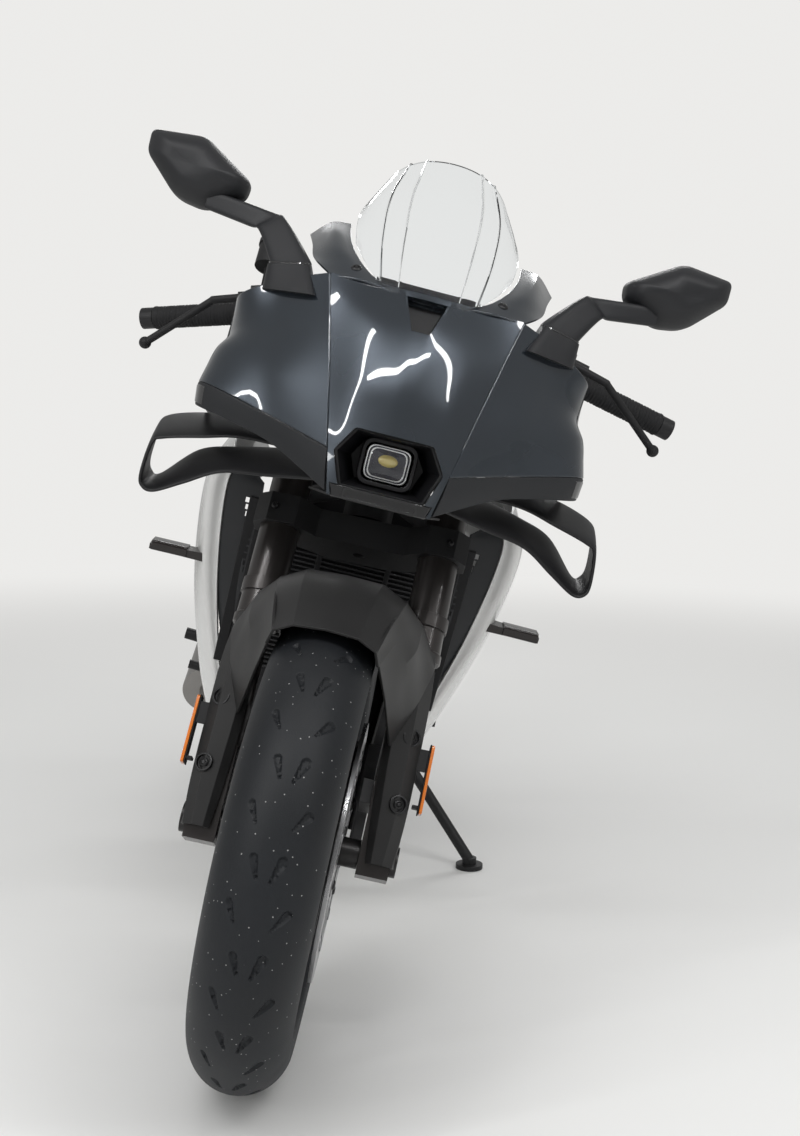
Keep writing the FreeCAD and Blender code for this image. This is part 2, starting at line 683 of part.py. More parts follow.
# Fuel tank: sections from front to back, half widths and heights
TANK = [
    # x, floor half, widest half, its height, shoulder half, its height, top
    (-402, 58, 92, 866, 56, 922, 938),
    (-520, 88, 132, 886, 84, 972, 1000),
    (-640, 104, 148, 888, 92, 978, 1004),
    (-740, 88, 122, 868, 76, 930, 958),
    (-806, 68, 84, 848, 52, 884, 898),
]
floor = size("tank_floor")
tank_sections = []
for x, floor_half, wide, wide_z, shoulder, shoulder_z, top in TANK:
    side = [(floor_half, floor), (wide, wide_z), (shoulder, shoulder_z), (shoulder * 0.35, top)]
    ring = side + [(-y, z) for y, z in side[::-1]]
    tank_sections.append([Vector(x, y, z) for y, z in ring])
tank = loft(tank_sections)
cap_x, cap_z = -590, 992
tank = tank.cut(Part.makeCylinder(46, 60, Vector(cap_x, 0, cap_z)))
feature_of("fuel_tank", tank)
cap = new_body("fuel_cap")
pad(cap, add_sketch(cap, "XY_Plane", [("circle", (cap_x, 0), 36)], cap_z + 1), 9)
pad(cap, add_sketch(cap, "XY_Plane", [[(cap_x + 20, -9), (cap_x + 42, -9), (cap_x + 42, 9), (cap_x + 20, 9)]], cap_z + 1), 9)
keep("fuel_cap", cap)
cap_hinge = Vector(cap_x + 44, 0, cap_z + 12)

# Subframe: two rails, struts down to the pivot plates, cross plates under the seats
rail = bent_tube([(-738, 112, 712), (-800, 84, 775), (-1085, 68, 778), (-1450, 36, 905)], 11, 40)
plate_top = pivot[1] + 200
strut = rod((pivot[0] + 37, 118, plate_top + 16), (-1060, 70, 778), 9)
strut_foot = box((pivot[0] + 23, pivot[0] + 51), (104, 132), (plate_top + tiny, plate_top + 24))
rail_foot = box((-758, -718), (100, 128), (700 + tiny, 722))
pieces = [rail, strut, strut_foot, rail_foot]
pieces = pieces + [mirrored(p) for p in pieces]
pieces.append(box((-862, -836), (-86, 86), (784, 799.7)))
pieces.append(box((-1040, -1012), (-76, 76), (784, 799.7)))
pieces.append(box((-1180, -1156), (-64, 64), (800, 880)))
pieces.append(box((-1350, -1326), (-50, 50), (868, 911.7)))
pieces.append(box((-1452, -1438), (-44, 44), (893, 912)))
feature_of("subframe", fuse(pieces))

# Seats and tail
SEAT = [
    # x, floor half, wide half, its height, top half, top height
    (-810.6, 54, 62, 818, 50, 838),
    (-880, 88, 104, 816, 78, 834),
    (-1000, 112, 134, 822, 104, 846),
    (-1078, 96, 124, 836, 96, 872),
]
PILLION = [
    (-1108.6, 60, 75.4, 904, 66, 924),
    (-1240, 62, 75.4, 925, 68, 956),
    (-1395.4, 42, 51.4, 950, 44, 976),
]


def cushion(table, floors):
    sections = []
    for (x, low, wide, wide_z, top, top_z), floor_z in zip(table, floors):
        side = [(low, floor_z), (wide, wide_z), (top, top_z)]
        ring = side + [(-y, z) for y, z in side[::-1]]
        sections.append([Vector(x, y, z) for y, z in ring])
    return loft(sections)


feature_of("rider_seat", cushion(SEAT, [800] * 4))
TAIL = [
    # x, low half, its height, wide half, its height, top half, its height
    (-1079, 90, 806, 122, 852, 98, 899),
    (-1250, 82, 838, 112, 890, 92, 938),
    (-1420, 66, 888, 92, 936, 70, 972),
    (-1636, 26, 958, 42, 984, 28, 1004),
]


def tail_ring(row, inset, drop):
    x, low, low_z, wide, wide_z, top, top_z = row
    side = [(low - inset, low_z - drop), (wide - inset, wide_z), (top - inset, top_z - inset)]
    ring = side + [(-y, z) for y, z in side[::-1]]
    return [Vector(x, y, z) for y, z in ring]


tail = loft([tail_ring(row, 0, 0) for row in TAIL])
ends = [TAIL[0][:0] + (TAIL[0][0] + 3,) + TAIL[0][1:]] + TAIL[1:3] + [(-1600, 34, 944, 50, 975, 34, 998)]
tail = tail.cut(loft([tail_ring(row, skin, 26) for row in ends]))
well = [[Vector(x, y, z) for y, z in ((-w, 880), (w, 880), (w, 1100), (-w, 1100))] for x, w in ((-1108, 76), (-1240, 76), (-1396, 52))]
tail = tail.cut(loft(well))
feature_of("tail_fairing", biggest(tail))
seat_rear = cushion(PILLION, [880.3, 896, 912])
seat_rear = seat_rear.cut(subparts["tail_fairing"].Shape).cut(subparts["subframe"].Shape)
feature_of("pillion_seat", biggest(seat_rear))
lamp = new_body("tail_lamp")
pad(lamp, add_sketch(lamp, "YZ_Plane", [[(-24, 962), (24, 962), (38, 984), (26, 1001), (-26, 1001), (-38, 984)]], -1636 - tiny), 18, back=True)
keep("tail_lamp", lamp)

# Number plate holder with rear indicators
plate_low, plate_high = Vector(-1702, 0, 600), Vector(-1642, 0, 735)
plate_along = (plate_high - plate_low).normalize()
plate_normal = Vector(-plate_along.z, 0, plate_along.x)
plate_centre = plate_low + plate_along * 100 + plate_normal * 2
arm_top = plate_low + plate_along * 112 + plate_normal * 2
arm_low = plate_low + plate_along * 6 + plate_normal * 2
arm = side_plate([
    (-1440, 893), (-1470, 893), (-1560, 850), (arm_top.x, arm_top.z), (arm_low.x, arm_low.z),
    (-1684, 600), (-1634, 692), (-1544, 838), (-1440, 868),
], -30, 30)
corners = [plate_low, plate_high, plate_high + plate_normal * 4, plate_low + plate_normal * 4]
board = side_plate([(p.x, p.z) for p in corners], -90, 90)
for y in (-60, 60):
    at = plate_centre + Vector(0, y, 0)
    board = board.cut(rod(at - plate_normal * 9, at + plate_normal * 9, 3.2))
holder = fuse([arm, board, rod((-1612, -104, 745), (-1612, 104, 745), 7)])
holder = holder.cut(subparts["subframe"].Shape)
feature_of("plate_holder", biggest(holder))
lamp_rear = loft([[Vector(x, y, z) for x, z in ((-1630, 736), (-1598, 736), (-1598, 754), (-1630, 754))] for y in (104 + tiny, 150)])
feature_of("rear_indicators", both_sides(lamp_rear))

# Swingarm, its axle, the shock
arm_in, arm_out = 121, 146
rear_z = rear_r
arm_run = (-wheelbase - pivot[0], rear_z - pivot[1])


def on_arm(share, above=0.0):
    """A side-view point a share of the way from the pivot to the axle, and above that line."""
    return pivot[0] + share * arm_run[0], pivot[1] + share * arm_run[1] + above


ARM = [
    # share of the way to the axle, inner y, outer y, lower and upper edge from the line between them
    (0, 98, plate_in - tiny, -24, 24),
    (0.092, 98, plate_in - tiny, -18, 29),
    (0.2, arm_in, arm_out, -27, 32),
    (0.685, arm_in, arm_out, -28, 26),
    (0.93, arm_in, arm_out, -31, 21),
    (1.095, arm_in, arm_out, -14, 28),
]
arm_rings = []
for share, inside, outside, low, high in ARM:
    (x, z_low), (_, z_high) = on_arm(share, low), on_arm(share, high)
    arm_rings.append([Vector(x, inside, z_low), Vector(x, outside, z_low), Vector(x, outside, z_high), Vector(x, inside, z_high)])
arm_left = loft(arm_rings)
sleeve = plate_in - tiny
pieces = [arm_left, mirrored(arm_left), rod((pivot[0], -sleeve, pivot[1]), (pivot[0], sleeve, pivot[1]), 26)]
cross_back = -wheelbase + rear_r + 54  # rear face of the cross piece, clear of the tyre
cross_at = (cross_back - pivot[0] + 36) / arm_run[0]
cross_z = on_arm(cross_at)[1]
shock_seat = (pivot[0] - 95, cross_z + 22)
pieces.append(box((cross_back, cross_back + 72), (-arm_in - 2, arm_in + 2), (cross_z - 16, cross_z + 22)))
pieces.append(side_plate([
    (pivot[0] + 5, pivot[1] - 20), (pivot[0] + 5, pivot[1] - 4), (shock_seat[0] + 25, shock_seat[1]),
    (cross_back + 60, shock_seat[1]), (cross_back + 60, cross_z - 8), (shock_seat[0] + 25, cross_z - 8),
], -60, 60))
SPOOL = (61, -15)  # hole for a stand's spool, from the rear axle
spool = by_rear_axle([SPOOL])[0]
boss = rod((spool[0], arm_out - 1, spool[1]), (spool[0], arm_out + 14, spool[1]), 13)
pieces += [boss, mirrored(boss)]
swingarm = fuse(pieces)
swingarm = swingarm.cut(rod((pivot[0], -200, pivot[1]), (pivot[0], 200, pivot[1]), 12 + tiny))
swingarm = swingarm.cut(rod((-wheelbase, -200, rear_z), (-wheelbase, 200, rear_z), axle_radius + tiny))
swingarm = swingarm.cut(both_sides(rod((spool[0], arm_out - 16, spool[1]), (spool[0], arm_out + 24, spool[1]), 4)))
feature_of("swingarm", swingarm)
rear_axle = new_body("rear_axle")
inner_left, inner_right = 110.6, -83.6
outline = [
    (-160, size("axle_bore")), (160, size("axle_bore")), (160, 20), (arm_out + tiny, 20), (arm_out + tiny, axle_radius),
    (arm_in - tiny, axle_radius), (arm_in - tiny, 19), (inner_left, 19), (inner_left, axle_radius),
    (inner_right, axle_radius), (inner_right, 19), (-arm_in + tiny, 19), (-arm_in + tiny, axle_radius),
    (-arm_out - tiny, axle_radius), (-arm_out - tiny, 20), (-160, 20),
]
revolve(rear_axle, add_sketch(rear_axle, "YZ_Plane", [outline]))
keep("rear_axle", rear_axle)
wheel_place = Placement(Vector(-wheelbase, 0, rear_z), Rotation())
eye_x, eye_z = shock_eye
eye = rod((eye_x, -15, eye_z), (eye_x, 15, eye_z), 22)
top = Vector(eye_x - 8, 0, eye_z - 8)
foot_point = Vector(shock_seat[0], 0, shock_seat[1] + 10)
spring = [eye, rod(top, foot_point, 17), rod(foot_point, foot_point + (foot_point - top) * 0.02, 30)]
for i in range(8):
    a = top + (foot_point - top) * (0.2 + 0.095 * i)
    spring.append(rod(a, a + (foot_point - top) * 0.045, 29))
seat_block = box((shock_seat[0] - 30, shock_seat[0] + 15), (-22, 22), (shock_seat[1] + tiny, shock_seat[1] + 16))
shock = fuse(spring + [seat_block]).cut(rod((eye_x, -20, eye_z), (eye_x, 20, eye_z), 13 + tiny))
under_seat = box((shock_seat[0] - 100, shock_seat[0] + 100), (-100, 100), (shock_seat[1] - 90, shock_seat[1] + tiny))
shock = shock.cut(under_seat).cut(swingarm)
feature_of("shock", biggest(shock))

# Drive chain line: rear sprocket on its carrier, gearbox sprocket hidden by its cover
line = size("chain_line")
pitch = size("chain_pitch")


def pitch_radius(teeth):
    return pitch / 2 / math.sin(math.pi / teeth)


def gear_outline(teeth, cx, cz):
    """A sprocket's toothed outline in side view."""
    radius = pitch_radius(teeth)
    points = []
    for i in range(teeth):
        for share, reach in ((0.3, -3.5), (0.42, 3.5), (0.58, 3.5), (0.7, -3.5)):
            angle = 2 * math.pi * (i + share) / teeth
            points.append((cx + (radius + reach) * math.cos(angle), cz + (radius + reach) * math.sin(angle)))
    return points


carrier = fuse([rod((0, rear_hub_half, 0), (0, line - 3, 0), 46), rod((0, rear_hub_half, 0), (0, rear_hub_half + 8, 0), 62)])
sprocket = side_plate(gear_outline(int(size("rear_teeth")), 0, 0), line - 3, line + 3)
for i in range(5):
    hole = rod((72, line - 4, 0), (72, line + 4, 0), 15)
    hole.rotate(Vector(), Vector(0, 1, 0), 72.0 * i)
    sprocket = sprocket.cut(hole)
rear_sprocket = fuse([carrier, sprocket]).cut(rod((0, 0, 0), (0, 140, 0), bore))
feature_of("rear_sprocket", rear_sprocket)

rear_centre = (-wheelbase, rear_z)
r1, r2 = pitch_radius(int(size("front_teeth"))), pitch_radius(int(size("rear_teeth")))
dx, dz = front_centre[0] - rear_centre[0], front_centre[1] - rear_centre[1]
gap = math.hypot(dx, dz)
turn = math.atan2(dz, dx)
tilt = math.acos((r2 - r1) / gap)


def belt(grow):
    """The chain's closed side outline, grown or shrunk from its pitch line."""
    ra, rb = r1 + grow, r2 + grow
    points = []
    for sign in (1, -1):
        angle = turn + sign * tilt
        c, s = math.cos(angle), math.sin(angle)
        points.append(((front_centre[0] + ra * c, front_centre[1] + ra * s), (rear_centre[0] + rb * c, rear_centre[1] + rb * s)))
    (a, b), (d, c) = points
    nose = (front_centre[0] + ra * math.cos(turn), front_centre[1] + ra * math.sin(turn), "via")
    back = (rear_centre[0] - rb * math.cos(turn), rear_centre[1] - rb * math.sin(turn), "via")
    return [a, b, back, c, d, nose]


plates = []
for y_from, y_to in ((line - 9, line - 4.2), (line + 4.2, line + 9)):
    plates.append(side_plate(belt(7), y_from, y_to).cut(side_plate(belt(-7), y_from, y_to)))
runs = []
for sign in (1, -1):
    angle = turn + sign * tilt
    c, s = math.cos(angle), math.sin(angle)
    start = Vector(front_centre[0] + r1 * c, 0, front_centre[1] + r1 * s)
    end = Vector(rear_centre[0] + r2 * c, 0, rear_centre[1] + r2 * s)
    pitches = int((end - start).Length / pitch)
    for k in range(3, pitches - 3, 2):
        p = start + (end - start) * (k / pitches)
        runs.append(rod((p.x, line - 6, p.z), (p.x, line + 6, p.z), 5))
gearbox_sprocket = side_plate(gear_outline(int(size("front_teeth")), *front_centre), line - 3, line + 3)
feature_of("chain", fuse(plates + runs))
shaft = rod((front_centre[0], 80, front_centre[1]), (front_centre[0], line + 3, front_centre[1]), 14)
engine_feature = subparts["engine"]
engine_feature.Shape = fuse([engine_feature.Shape, gearbox_sprocket, shaft])

# Rear caliper on the right arm
rear_caliper = side_plate(by_rear_axle([(81, 37), (129, 51), (119, 105), (85, 117), (51, 95), (61, 57)]), -112, -66)
caliper_foot = box((-wheelbase + 81, -wheelbase + 115), (-arm_in + tiny, -100), (rear_z + 25, rear_z + 57))
rear_caliper = fuse([rear_caliper, caliper_foot])
rear_slot = rod((-wheelbase, -88, rear_z), (-wheelbase, -73, rear_z), size("rear_disc_radius") + size("running_gap"))
rear_caliper = rear_caliper.cut(rear_slot).cut(rod((-wheelbase, -76, rear_z), (-wheelbase, 0, rear_z), 88))
feature_of("rear_caliper", biggest(rear_caliper))

# Exhaust
header = bent_tube([(-452, 42, 640), (-408, 42, 600), (-408, 42, 300), (-470, 30, 204), (-640, 0, 198)], 18, 34)
pieces = [header, mirrored(header), rod((-600, 0, 199), (-742, 0, 199), 27)]
pieces.append(bent_tube([(-700, 0, 199), (-800, -60, 204), (-890, -170, 240), (-960, -200, 262)], 22, 50))
silencer = rod((-930, -197, 254), (-1250, -206, 352), 46)
pieces.append(silencer)
exhaust = fuse(pieces).cut(engine)
bore_end = rod((-1200, -204.6, 336.7), (-1270, -206.6, 358.1), 34)
exhaust = exhaust.cut(bore_end)
feature_of("exhaust", biggest(exhaust))

# Radiator between its side tanks, with upright louvres in front
core = box((-20, 14), (-150, 150), (-122, 122))
tank_side = box((-22, 16), (150, 166), (-128, 128))
slats = []
for i in range(int(size("slat_count"))):
    y = -142 + 284.0 * i / (size("slat_count") - 1)
    slats.append(box((14, 20), (y - 2, y + 2), (-122, 122)))
bars = [box((14, 20), (-150, 150), (z - 4, z + 4)) for z in (-118, -40, 40, 118)]
stay = box((-60, -18), (118, 140), (96, 118))
radiator = fuse([core, tank_side, mirrored(tank_side), stay, mirrored(stay)] + slats + bars)
radiator_place = Placement(Vector(-326, 0, 560), Rotation(Vector(0, 1, 0), 12))
radiator.transformShape(radiator_place.toMatrix(), True)
feature_of("radiator", radiator.cut(subparts["main_frame"].Shape).cut(engine))

# Nose: cowl between the side panels, with the headlamp's opening
NOSE = [
    # height, then (forward, width) from the seam to the centre
    (729, [(58, 62), (64, 40), (70, 18), (72, 0)]),
    (781, [(50, 73), (62, 48), (72, 20), (76, 0)]),
    (816, [(41, 81), (58, 50), (68, 20), (72, 0)]),
    (871, [(20, 93), (42, 55), (56, 20), (60, 0)]),
    (934, [(-5, 108), (18, 58), (30, 20), (32, 0)]),
    (985, [(-28, 121), (-14, 62), (-2, 20), (0, 0)]),
]
nose_rows = []
for z, line in NOSE:
    nose_rows.append([(x, y, z) for x, y in line] + [(x, -y, z) for x, y in line[-2::-1]])


def thick_panel(rows, inward):
    """A panel whose thickness lies on the side that inward points to."""
    solid = panel(rows, skin)
    other = panel(rows, -skin)
    return solid if solid.CenterOfMass.dot(Vector(*inward)) > other.CenterOfMass.dot(Vector(*inward)) else other


def hexagon(inset, x_from, x_to):
    """The headlamp's six-sided prism, smaller by inset."""
    corners = [(47, 812), (66, 781), (52, 742), (-52, 742), (-66, 781), (-47, 812)]
    face = flat_face(corners, lambda p: Vector(x_from, p[0], p[1]))
    if inset:
        shape = face.makeOffset2D(-inset, 2)
        face = shape if shape.Faces else Part.Face(shape.Wires[0])
    return face.extrude(Vector(x_to - x_from, 0, 0))


nose = thick_panel(nose_rows, (-1, 0, 0)).cut(hexagon(0, -60, 90))
feature_of("nose_cowl", biggest(nose))
housing = hexagon(0.4, -30, 60)
housing = housing.cut(hexagon(5, 6, 80))
ring = box((6, 40), (-34, 34), (750, 806)).cut(box((5, 60), (-29, 29), (755, 801)))
housing = fuse([housing, ring])
feature_of("headlamp_housing", housing)
feature_of("headlamp_lens", box((6 + tiny, 34), (-29 + tiny, 29 - tiny), (755 + tiny, 801 - tiny)))

# Side panels of the nose: rows from the top edge down, columns from the seam outwards and back
SIDE_COWL = [
    [(-28.5, 121.6, 985), (-52, 172, 968), (-80, 223, 948), (-140, 232, 930), (-205, 234, 905)],
    [(-3, 107.6, 930), (-36, 166, 908), (-78, 219, 896), (-145, 236, 874), (-235, 238, 850)],
    [(20, 93.6, 871), (-16, 162, 862), (-70, 232, 856), (-155, 241, 838), (-300, 240, 812)],
    [(50, 73.6, 781), (0, 150, 800), (-58, 243, 820), (-150, 245, 806), (-330, 242, 776)],
]
side_cowl = thick_panel(SIDE_COWL, (-0.5, -1, 0)).cut(subparts["nose_cowl"].Shape)
feature_of("side_cowls", both_sides(side_cowl))
TRIM = [
    [(50, 73.6, 780.4), (0, 150, 799.4), (-58, 243, 819.4), (-150, 245, 805.4), (-330, 242, 775.4)],
    [(48, 71, 758), (-4, 147, 778), (-62, 238, 800), (-150, 241, 788), (-330, 238, 758)],
]
trim = thick_panel(TRIM, (-0.5, -1, 0)).cut(side_cowl)
feature_of("cowl_trim", both_sides(trim))

# Windscreen: rows from the bottom edge up
SCREEN = [
    [(2.5, 0, 976), (-2, 32, 976), (-11, 62, 978), (-66, 86, 1004), (-112, 105, 1030)],
    [(-60, 0, 1045), (-66, 34, 1045), (-84, 66, 1044), (-112, 90, 1050), (-136, 104, 1058)],
    [(-135, 0, 1118), (-140, 32, 1116), (-156, 62, 1108), (-176, 84, 1100), (-190, 98, 1092)],
    [(-215, 0, 1184), (-218, 22, 1182), (-226, 42, 1172), (-236, 62, 1156), (-244, 80, 1136)],
]
screen_rows = [[(x, y, z) for x, y, z in row[::-1]] + [(x, -y, z) for x, y, z in row[1:]] for row in SCREEN]
screen = thick_panel(screen_rows, (-1, 0, -0.6))
screen = screen.cut(subparts["nose_cowl"].Shape)
feature_of("windscreen", biggest(screen))

# Winglets: a bent blade that comes back to the nose in a loop, in front view, swept back outwards
WING = [(88, 752), (84, 736), (200, 721), (270, 674), (288, 713), (279, 766), (178, 769), (160, 790), (110, 778)]
WING_GAP = [(190, 753), (277, 741), (274, 693), (222, 741)]


def swept(outline, forward, depth):
    rings = []
    for x in (forward, forward - depth):
        rings.append([Vector(x - 0.32 * (y - 83), y, z) for y, z in outline])
    return loft(rings)


winglet = swept(WING, 20, 70).cut(swept(WING_GAP, 30, 100)).cut(trim).cut(side_cowl).cut(subparts["nose_cowl"].Shape)
winglet = biggest(winglet)
feature_of("winglets", both_sides(winglet))

# Mirrors: stalk in two pieces with a joint, and a faceted head with its glass at the back
stalk = [rod((-48, 190, 946), (-108, 214, 1036), 9), Part.makeSphere(11, Vector(-108, 214, 1036))]
stalk.append(rod((-108, 214, 1036), (-128, 262, 1070), 9))
stalk.append(rod((-44, 188, 940), (-52, 192, 952), 16))
MIRROR = [(242, 1071), (313, 1120), (391, 1119), (392, 1104), (339, 1039), (290, 1029)]
middle = (328, 1080)
rings = []
for x, scale in ((-166, 1.0), (-140, 0.98), (-112, 0.6)):
    rings.append([Vector(x + (y - 320) * -0.12, middle[0] + (y - middle[0]) * scale, middle[1] + (z - middle[1]) * scale) for y, z in MIRROR])
mirror_head = loft(rings)
rings = []
for x in (-176, -160):
    rings.append([Vector(x + (y - 320) * -0.12, middle[0] + (y - middle[0]) * 0.92, middle[1] + (z - middle[1]) * 0.9) for y, z in MIRROR])
glass_pocket = loft(rings)
mirror = fuse([mirror_head] + stalk).cut(glass_pocket).cut(side_cowl)
mirror = biggest(mirror)
feature_of("mirrors", both_sides(mirror))
rings = []
for x in (-163, -160.3):
    rings.append([Vector(x + (y - 320) * -0.12, middle[0] + (y - middle[0]) * 0.914, middle[1] + (z - middle[1]) * 0.894) for y, z in MIRROR])
feature_of("mirror_glass", both_sides(loft(rings)))

# Side fairings: rows from front to back, points from the top edge down
SIDE_FAIRING = [
    [(-300, 205, 742), (-300, 231, 693), (-332, 218, 570), (-380, 165, 398)],
    [(-450, 214, 778), (-455, 245, 690), (-470, 232, 520), (-480, 168, 318)],
    [(-650, 198, 762), (-650, 235, 660), (-645, 224, 480), (-630, 158, 304)],
    [(-840, 172, 700), (-850, 204, 620), (-832, 198, 480), (-792, 156, 320)],
]
fairing = thick_panel(SIDE_FAIRING, (0, -1, 0))
peg = rod((-540, 98 + tiny, 600), (-540, 235, 600), 8)
fairing = fuse([fairing, peg])
sided("side_fairing", fairing)
inner_rows = [
    [(-300, 200, 736), (-302, 225, 690), (-333, 212, 570), (-381, 160, 402)],
    [(-296, 167, 700), (-302, 167, 676), (-330, 167, 556), (-376, 140, 420)],
]
inner_panel = thick_panel(inner_rows, (-1, -0.3, 0))
inner_panel = inner_panel.cut(fairing).cut(subparts["radiator"].Shape)
feature_of("inner_panels", both_sides(biggest(inner_panel)))
indicator = loft([
    [Vector(x, 190, z) for x, z in ((-352, 570), (-322, 570), (-318, 584), (-352, 588))],
    [Vector(x, 293, z) for x, z in ((-350, 572), (-328, 570), (-326, 578), (-350, 582))],
])
indicator = indicator.cut(fairing).cut(inner_panel)
outer_parts = [s for s in indicator.Solids if s.BoundBox.YMax > 290]
feature_of("front_indicators", both_sides(outer_parts[0]))

# Belly pan: rows from front to back, half section from the left edge to the middle
BELLY = [
    (-430, [(104, 312), (84, 232), (0, 206)]),
    (-620, [(152, 303), (122, 186), (0, 156)]),
    (-800, [(146, 310), (116, 200), (0, 170)]),
]
belly_rows = []
for x, line in BELLY:
    belly_rows.append([(x, y, z) for y, z in line] + [(x, -y, z) for y, z in line[-2::-1]])
belly = thick_panel(belly_rows, (0, 0, 1))
belly_pegs = [rod((-660, s * 69, 172), (-660, s * 69, 228 - tiny), 8) for s in (-1, 1)]
belly = fuse([belly] + belly_pegs)
belly = belly.cut(subparts["exhaust"].Shape)
feature_of("belly_pan", biggest(belly))

# Fairing stay from the head tube to the nose, and the instruments on it
stay = in_bike(box((-12, 96), (-22, 22), (490, 540)))
stay = fuse([stay, box((-138, -100), (-46, 46), (792, 830)), box((-104, -30 - tiny), (-20, 20), (770, 806))])
stay = fuse([stay, box((-116, -104), (-60, 60), (792, 985)), box((-160, -104), (-40, 40), (965, 985))])
stay = stay.cut(subparts["main_frame"].Shape)
feature_of("fairing_stay", biggest(stay))
dash = box((-14, 0), (-66, 66), (-34, 34))
dash.transformShape(Placement(Vector(-140, 0, 1010), Rotation(Vector(0, 1, 0), 30)).toMatrix(), True)
dash = dash.cut(subparts["fairing_stay"].Shape)
feature_of("instruments", biggest(fuse([dash, box((-150, -120), (-30, 30), (985, 1000))])))

# Rear hugger over the tyre, carried by the swingarm's cross piece
HUGGER = [
    (84, 84), (58, 88), (30, 84), (8, 70),
]
hugger_rows = []
for angle, width in HUGGER:
    t = math.radians(angle)
    line = [(width, rear_r - 9), (width - 8, rear_r + 11), (0, rear_r + 19), (-width + 8, rear_r + 11), (-width, rear_r - 9)]
    hugger_rows.append([(-wheelbase + r * math.sin(t), y, rear_z + r * math.cos(t)) for y, r in line])
hugger = panel(hugger_rows, 3)
alt = panel(hugger_rows, -3)
if alt.BoundBox.ZMax > hugger.BoundBox.ZMax:
    hugger = alt
hugger = fuse([hugger, box((cross_back - 42, cross_back - tiny), (-26, 26), (cross_z - 10, cross_z))])
tyre_room = rod((-wheelbase, -120, rear_z), (-wheelbase, 120, rear_z), size("rear_radius") + 6)
hugger = hugger.cut(tyre_room.common(box((-2000, 0), (-80, 80), (0, 800))))
feature_of("rear_hugger", biggest(hugger))

# Footrests: hanger plate, peg and the foot control on each side
hanger = side_plate(by_pivot([(21, 74), (-43, 66), (-81, 4), (-55, -70), (-15, -74), (5, 4)]), plate_out + tiny, plate_out + 8)
(peg_x, peg_z), (root_x, root_z), (mid_x, mid_z), (toe_x, toe_z) = by_pivot([(-39, -50), (-30, -56), (35, -66), (105, -74)])
peg_rod = rod((peg_x, plate_out + 4, peg_z), (peg_x, size("peg_reach"), peg_z + 6), 11)
lever_rod = bent_tube([(root_x, plate_out + 16, root_z), (mid_x, plate_out + 34, mid_z), (toe_x, plate_out + 52, toe_z)], 6, 30)
toe = rod((toe_x, plate_out + 50, toe_z), (toe_x + 2, plate_out + 91, toe_z + 2), 8)
post = rod((root_x, plate_out + 4, root_z), (root_x, plate_out + 22, root_z), 9)
footrest = fuse([hanger, peg_rod, post, lever_rod, toe])
feature_of("footrests", both_sides(footrest))

# How the bike stands: leaned onto its stand with both tyres on the floor, facing along -Y
lean = size("lean")
steer_turn = Placement(Vector(), Rotation(Vector(0, 0, 1), size("steer_turn")), Vector(stem_x, 0, 0))
turned_fork = fork_place.multiply(steer_turn)


def lowest(place, centre, axis, radius, crown):
    """Height of a round-crowned wheel's lowest point."""
    axis_up = place.Rotation.multVec(axis).z
    return place.multVec(centre).z - (radius - crown) * math.sqrt(1 - axis_up ** 2) - crown


def stance_for(pitch, lift):
    turn_all = Rotation(Vector(0, 0, 1), -90) * Rotation(Vector(1, 0, 0), -lean) * Rotation(Vector(0, 1, 0), pitch)
    return Placement(Vector(0, 0, lift), turn_all)


front_crown = crown_radius("front")
rear_crown = crown_radius("rear")
front_axis = turned_fork.Rotation.multVec(Vector(0, 1, 0))
front_centre_turned = turned_fork.multVec(Vector())
pitch_angle, lift_up = 0.0, 0.0
for _ in range(6):
    place = stance_for(pitch_angle, lift_up)
    low_front = lowest(place, front_centre_turned, front_axis, size("front_radius"), front_crown)
    low_rear = lowest(place, wheel_place.Base, Vector(0, 1, 0), size("rear_radius"), rear_crown)
    pitch_angle += math.degrees((low_rear - low_front) / wheelbase)
    lift_up -= low_front
stance = stance_for(pitch_angle, lift_up)
up_bike = stance.Rotation.inverted().multVec(Vector(0, 0, 1))

# Side stand: its pivot lug on the frame's left plate, the leg and the foot on the floor
stand_pivot = Vector(pivot[0] + 55, plate_out + 29, pivot[1] - 156)
foot_y = size("stand_reach") * math.cos(math.radians(lean))
foot_x = stand_pivot.x + size("stand_ahead")
foot_z = -stance.multVec(Vector(foot_x, foot_y, 0)).z / stance.Rotation.multVec(Vector(0, 0, 1)).z
stand_foot = Vector(foot_x, foot_y, foot_z)
leg_down = (stand_foot - stand_pivot).normalize()
leg_folded = Vector(-0.98, 0.10, 0.17).normalize()
stand_axis = leg_down.cross(leg_folded).normalize()
to_plate = Vector(stand_pivot.x, plate_in + 8, stand_pivot.z + 22) - stand_pivot
to_plate = to_plate - stand_axis * to_plate.dot(stand_axis)
across = stand_axis.cross(to_plate).normalize()
tongue = [stand_pivot - stand_axis * 5 + across * s * w + to_plate * t for s, w, t in ((1, 14, 0), (1, 18, 1), (-1, 18, 1), (-1, 14, 0))]
tongue = Part.Face(Part.makePolygon(tongue + tongue[:1])).extrude(stand_axis * 10)
stand_lug = fuse([rod(stand_pivot - stand_axis * 5, stand_pivot + stand_axis * 5, 16), tongue])
stand_lug = stand_lug.cut(rod(stand_pivot - stand_axis * 30, stand_pivot + stand_axis * 30, 6 + tiny))
frame_feature = subparts["main_frame"]
frame_feature.Shape = fuse([frame_feature.Shape, stand_lug])
leg_top = stand_pivot + stand_axis * 17
stand = fuse([
    rod(stand_pivot - stand_axis * 9, stand_pivot + stand_axis * 8, 6),
    rod(stand_pivot + stand_axis * (5 + tiny), stand_pivot + stand_axis * 28, 15),
    rod(stand_pivot - stand_axis * 9, stand_pivot - stand_axis * (5 + tiny), 10),
    rod(leg_top, stand_foot + up_bike * 14, 10),
    rod(stand_foot, stand_foot + up_bike * 8, 25),
    rod(stand_foot, stand_foot + up_bike * 20, 13),
])
feature_of("side_stand", stand)

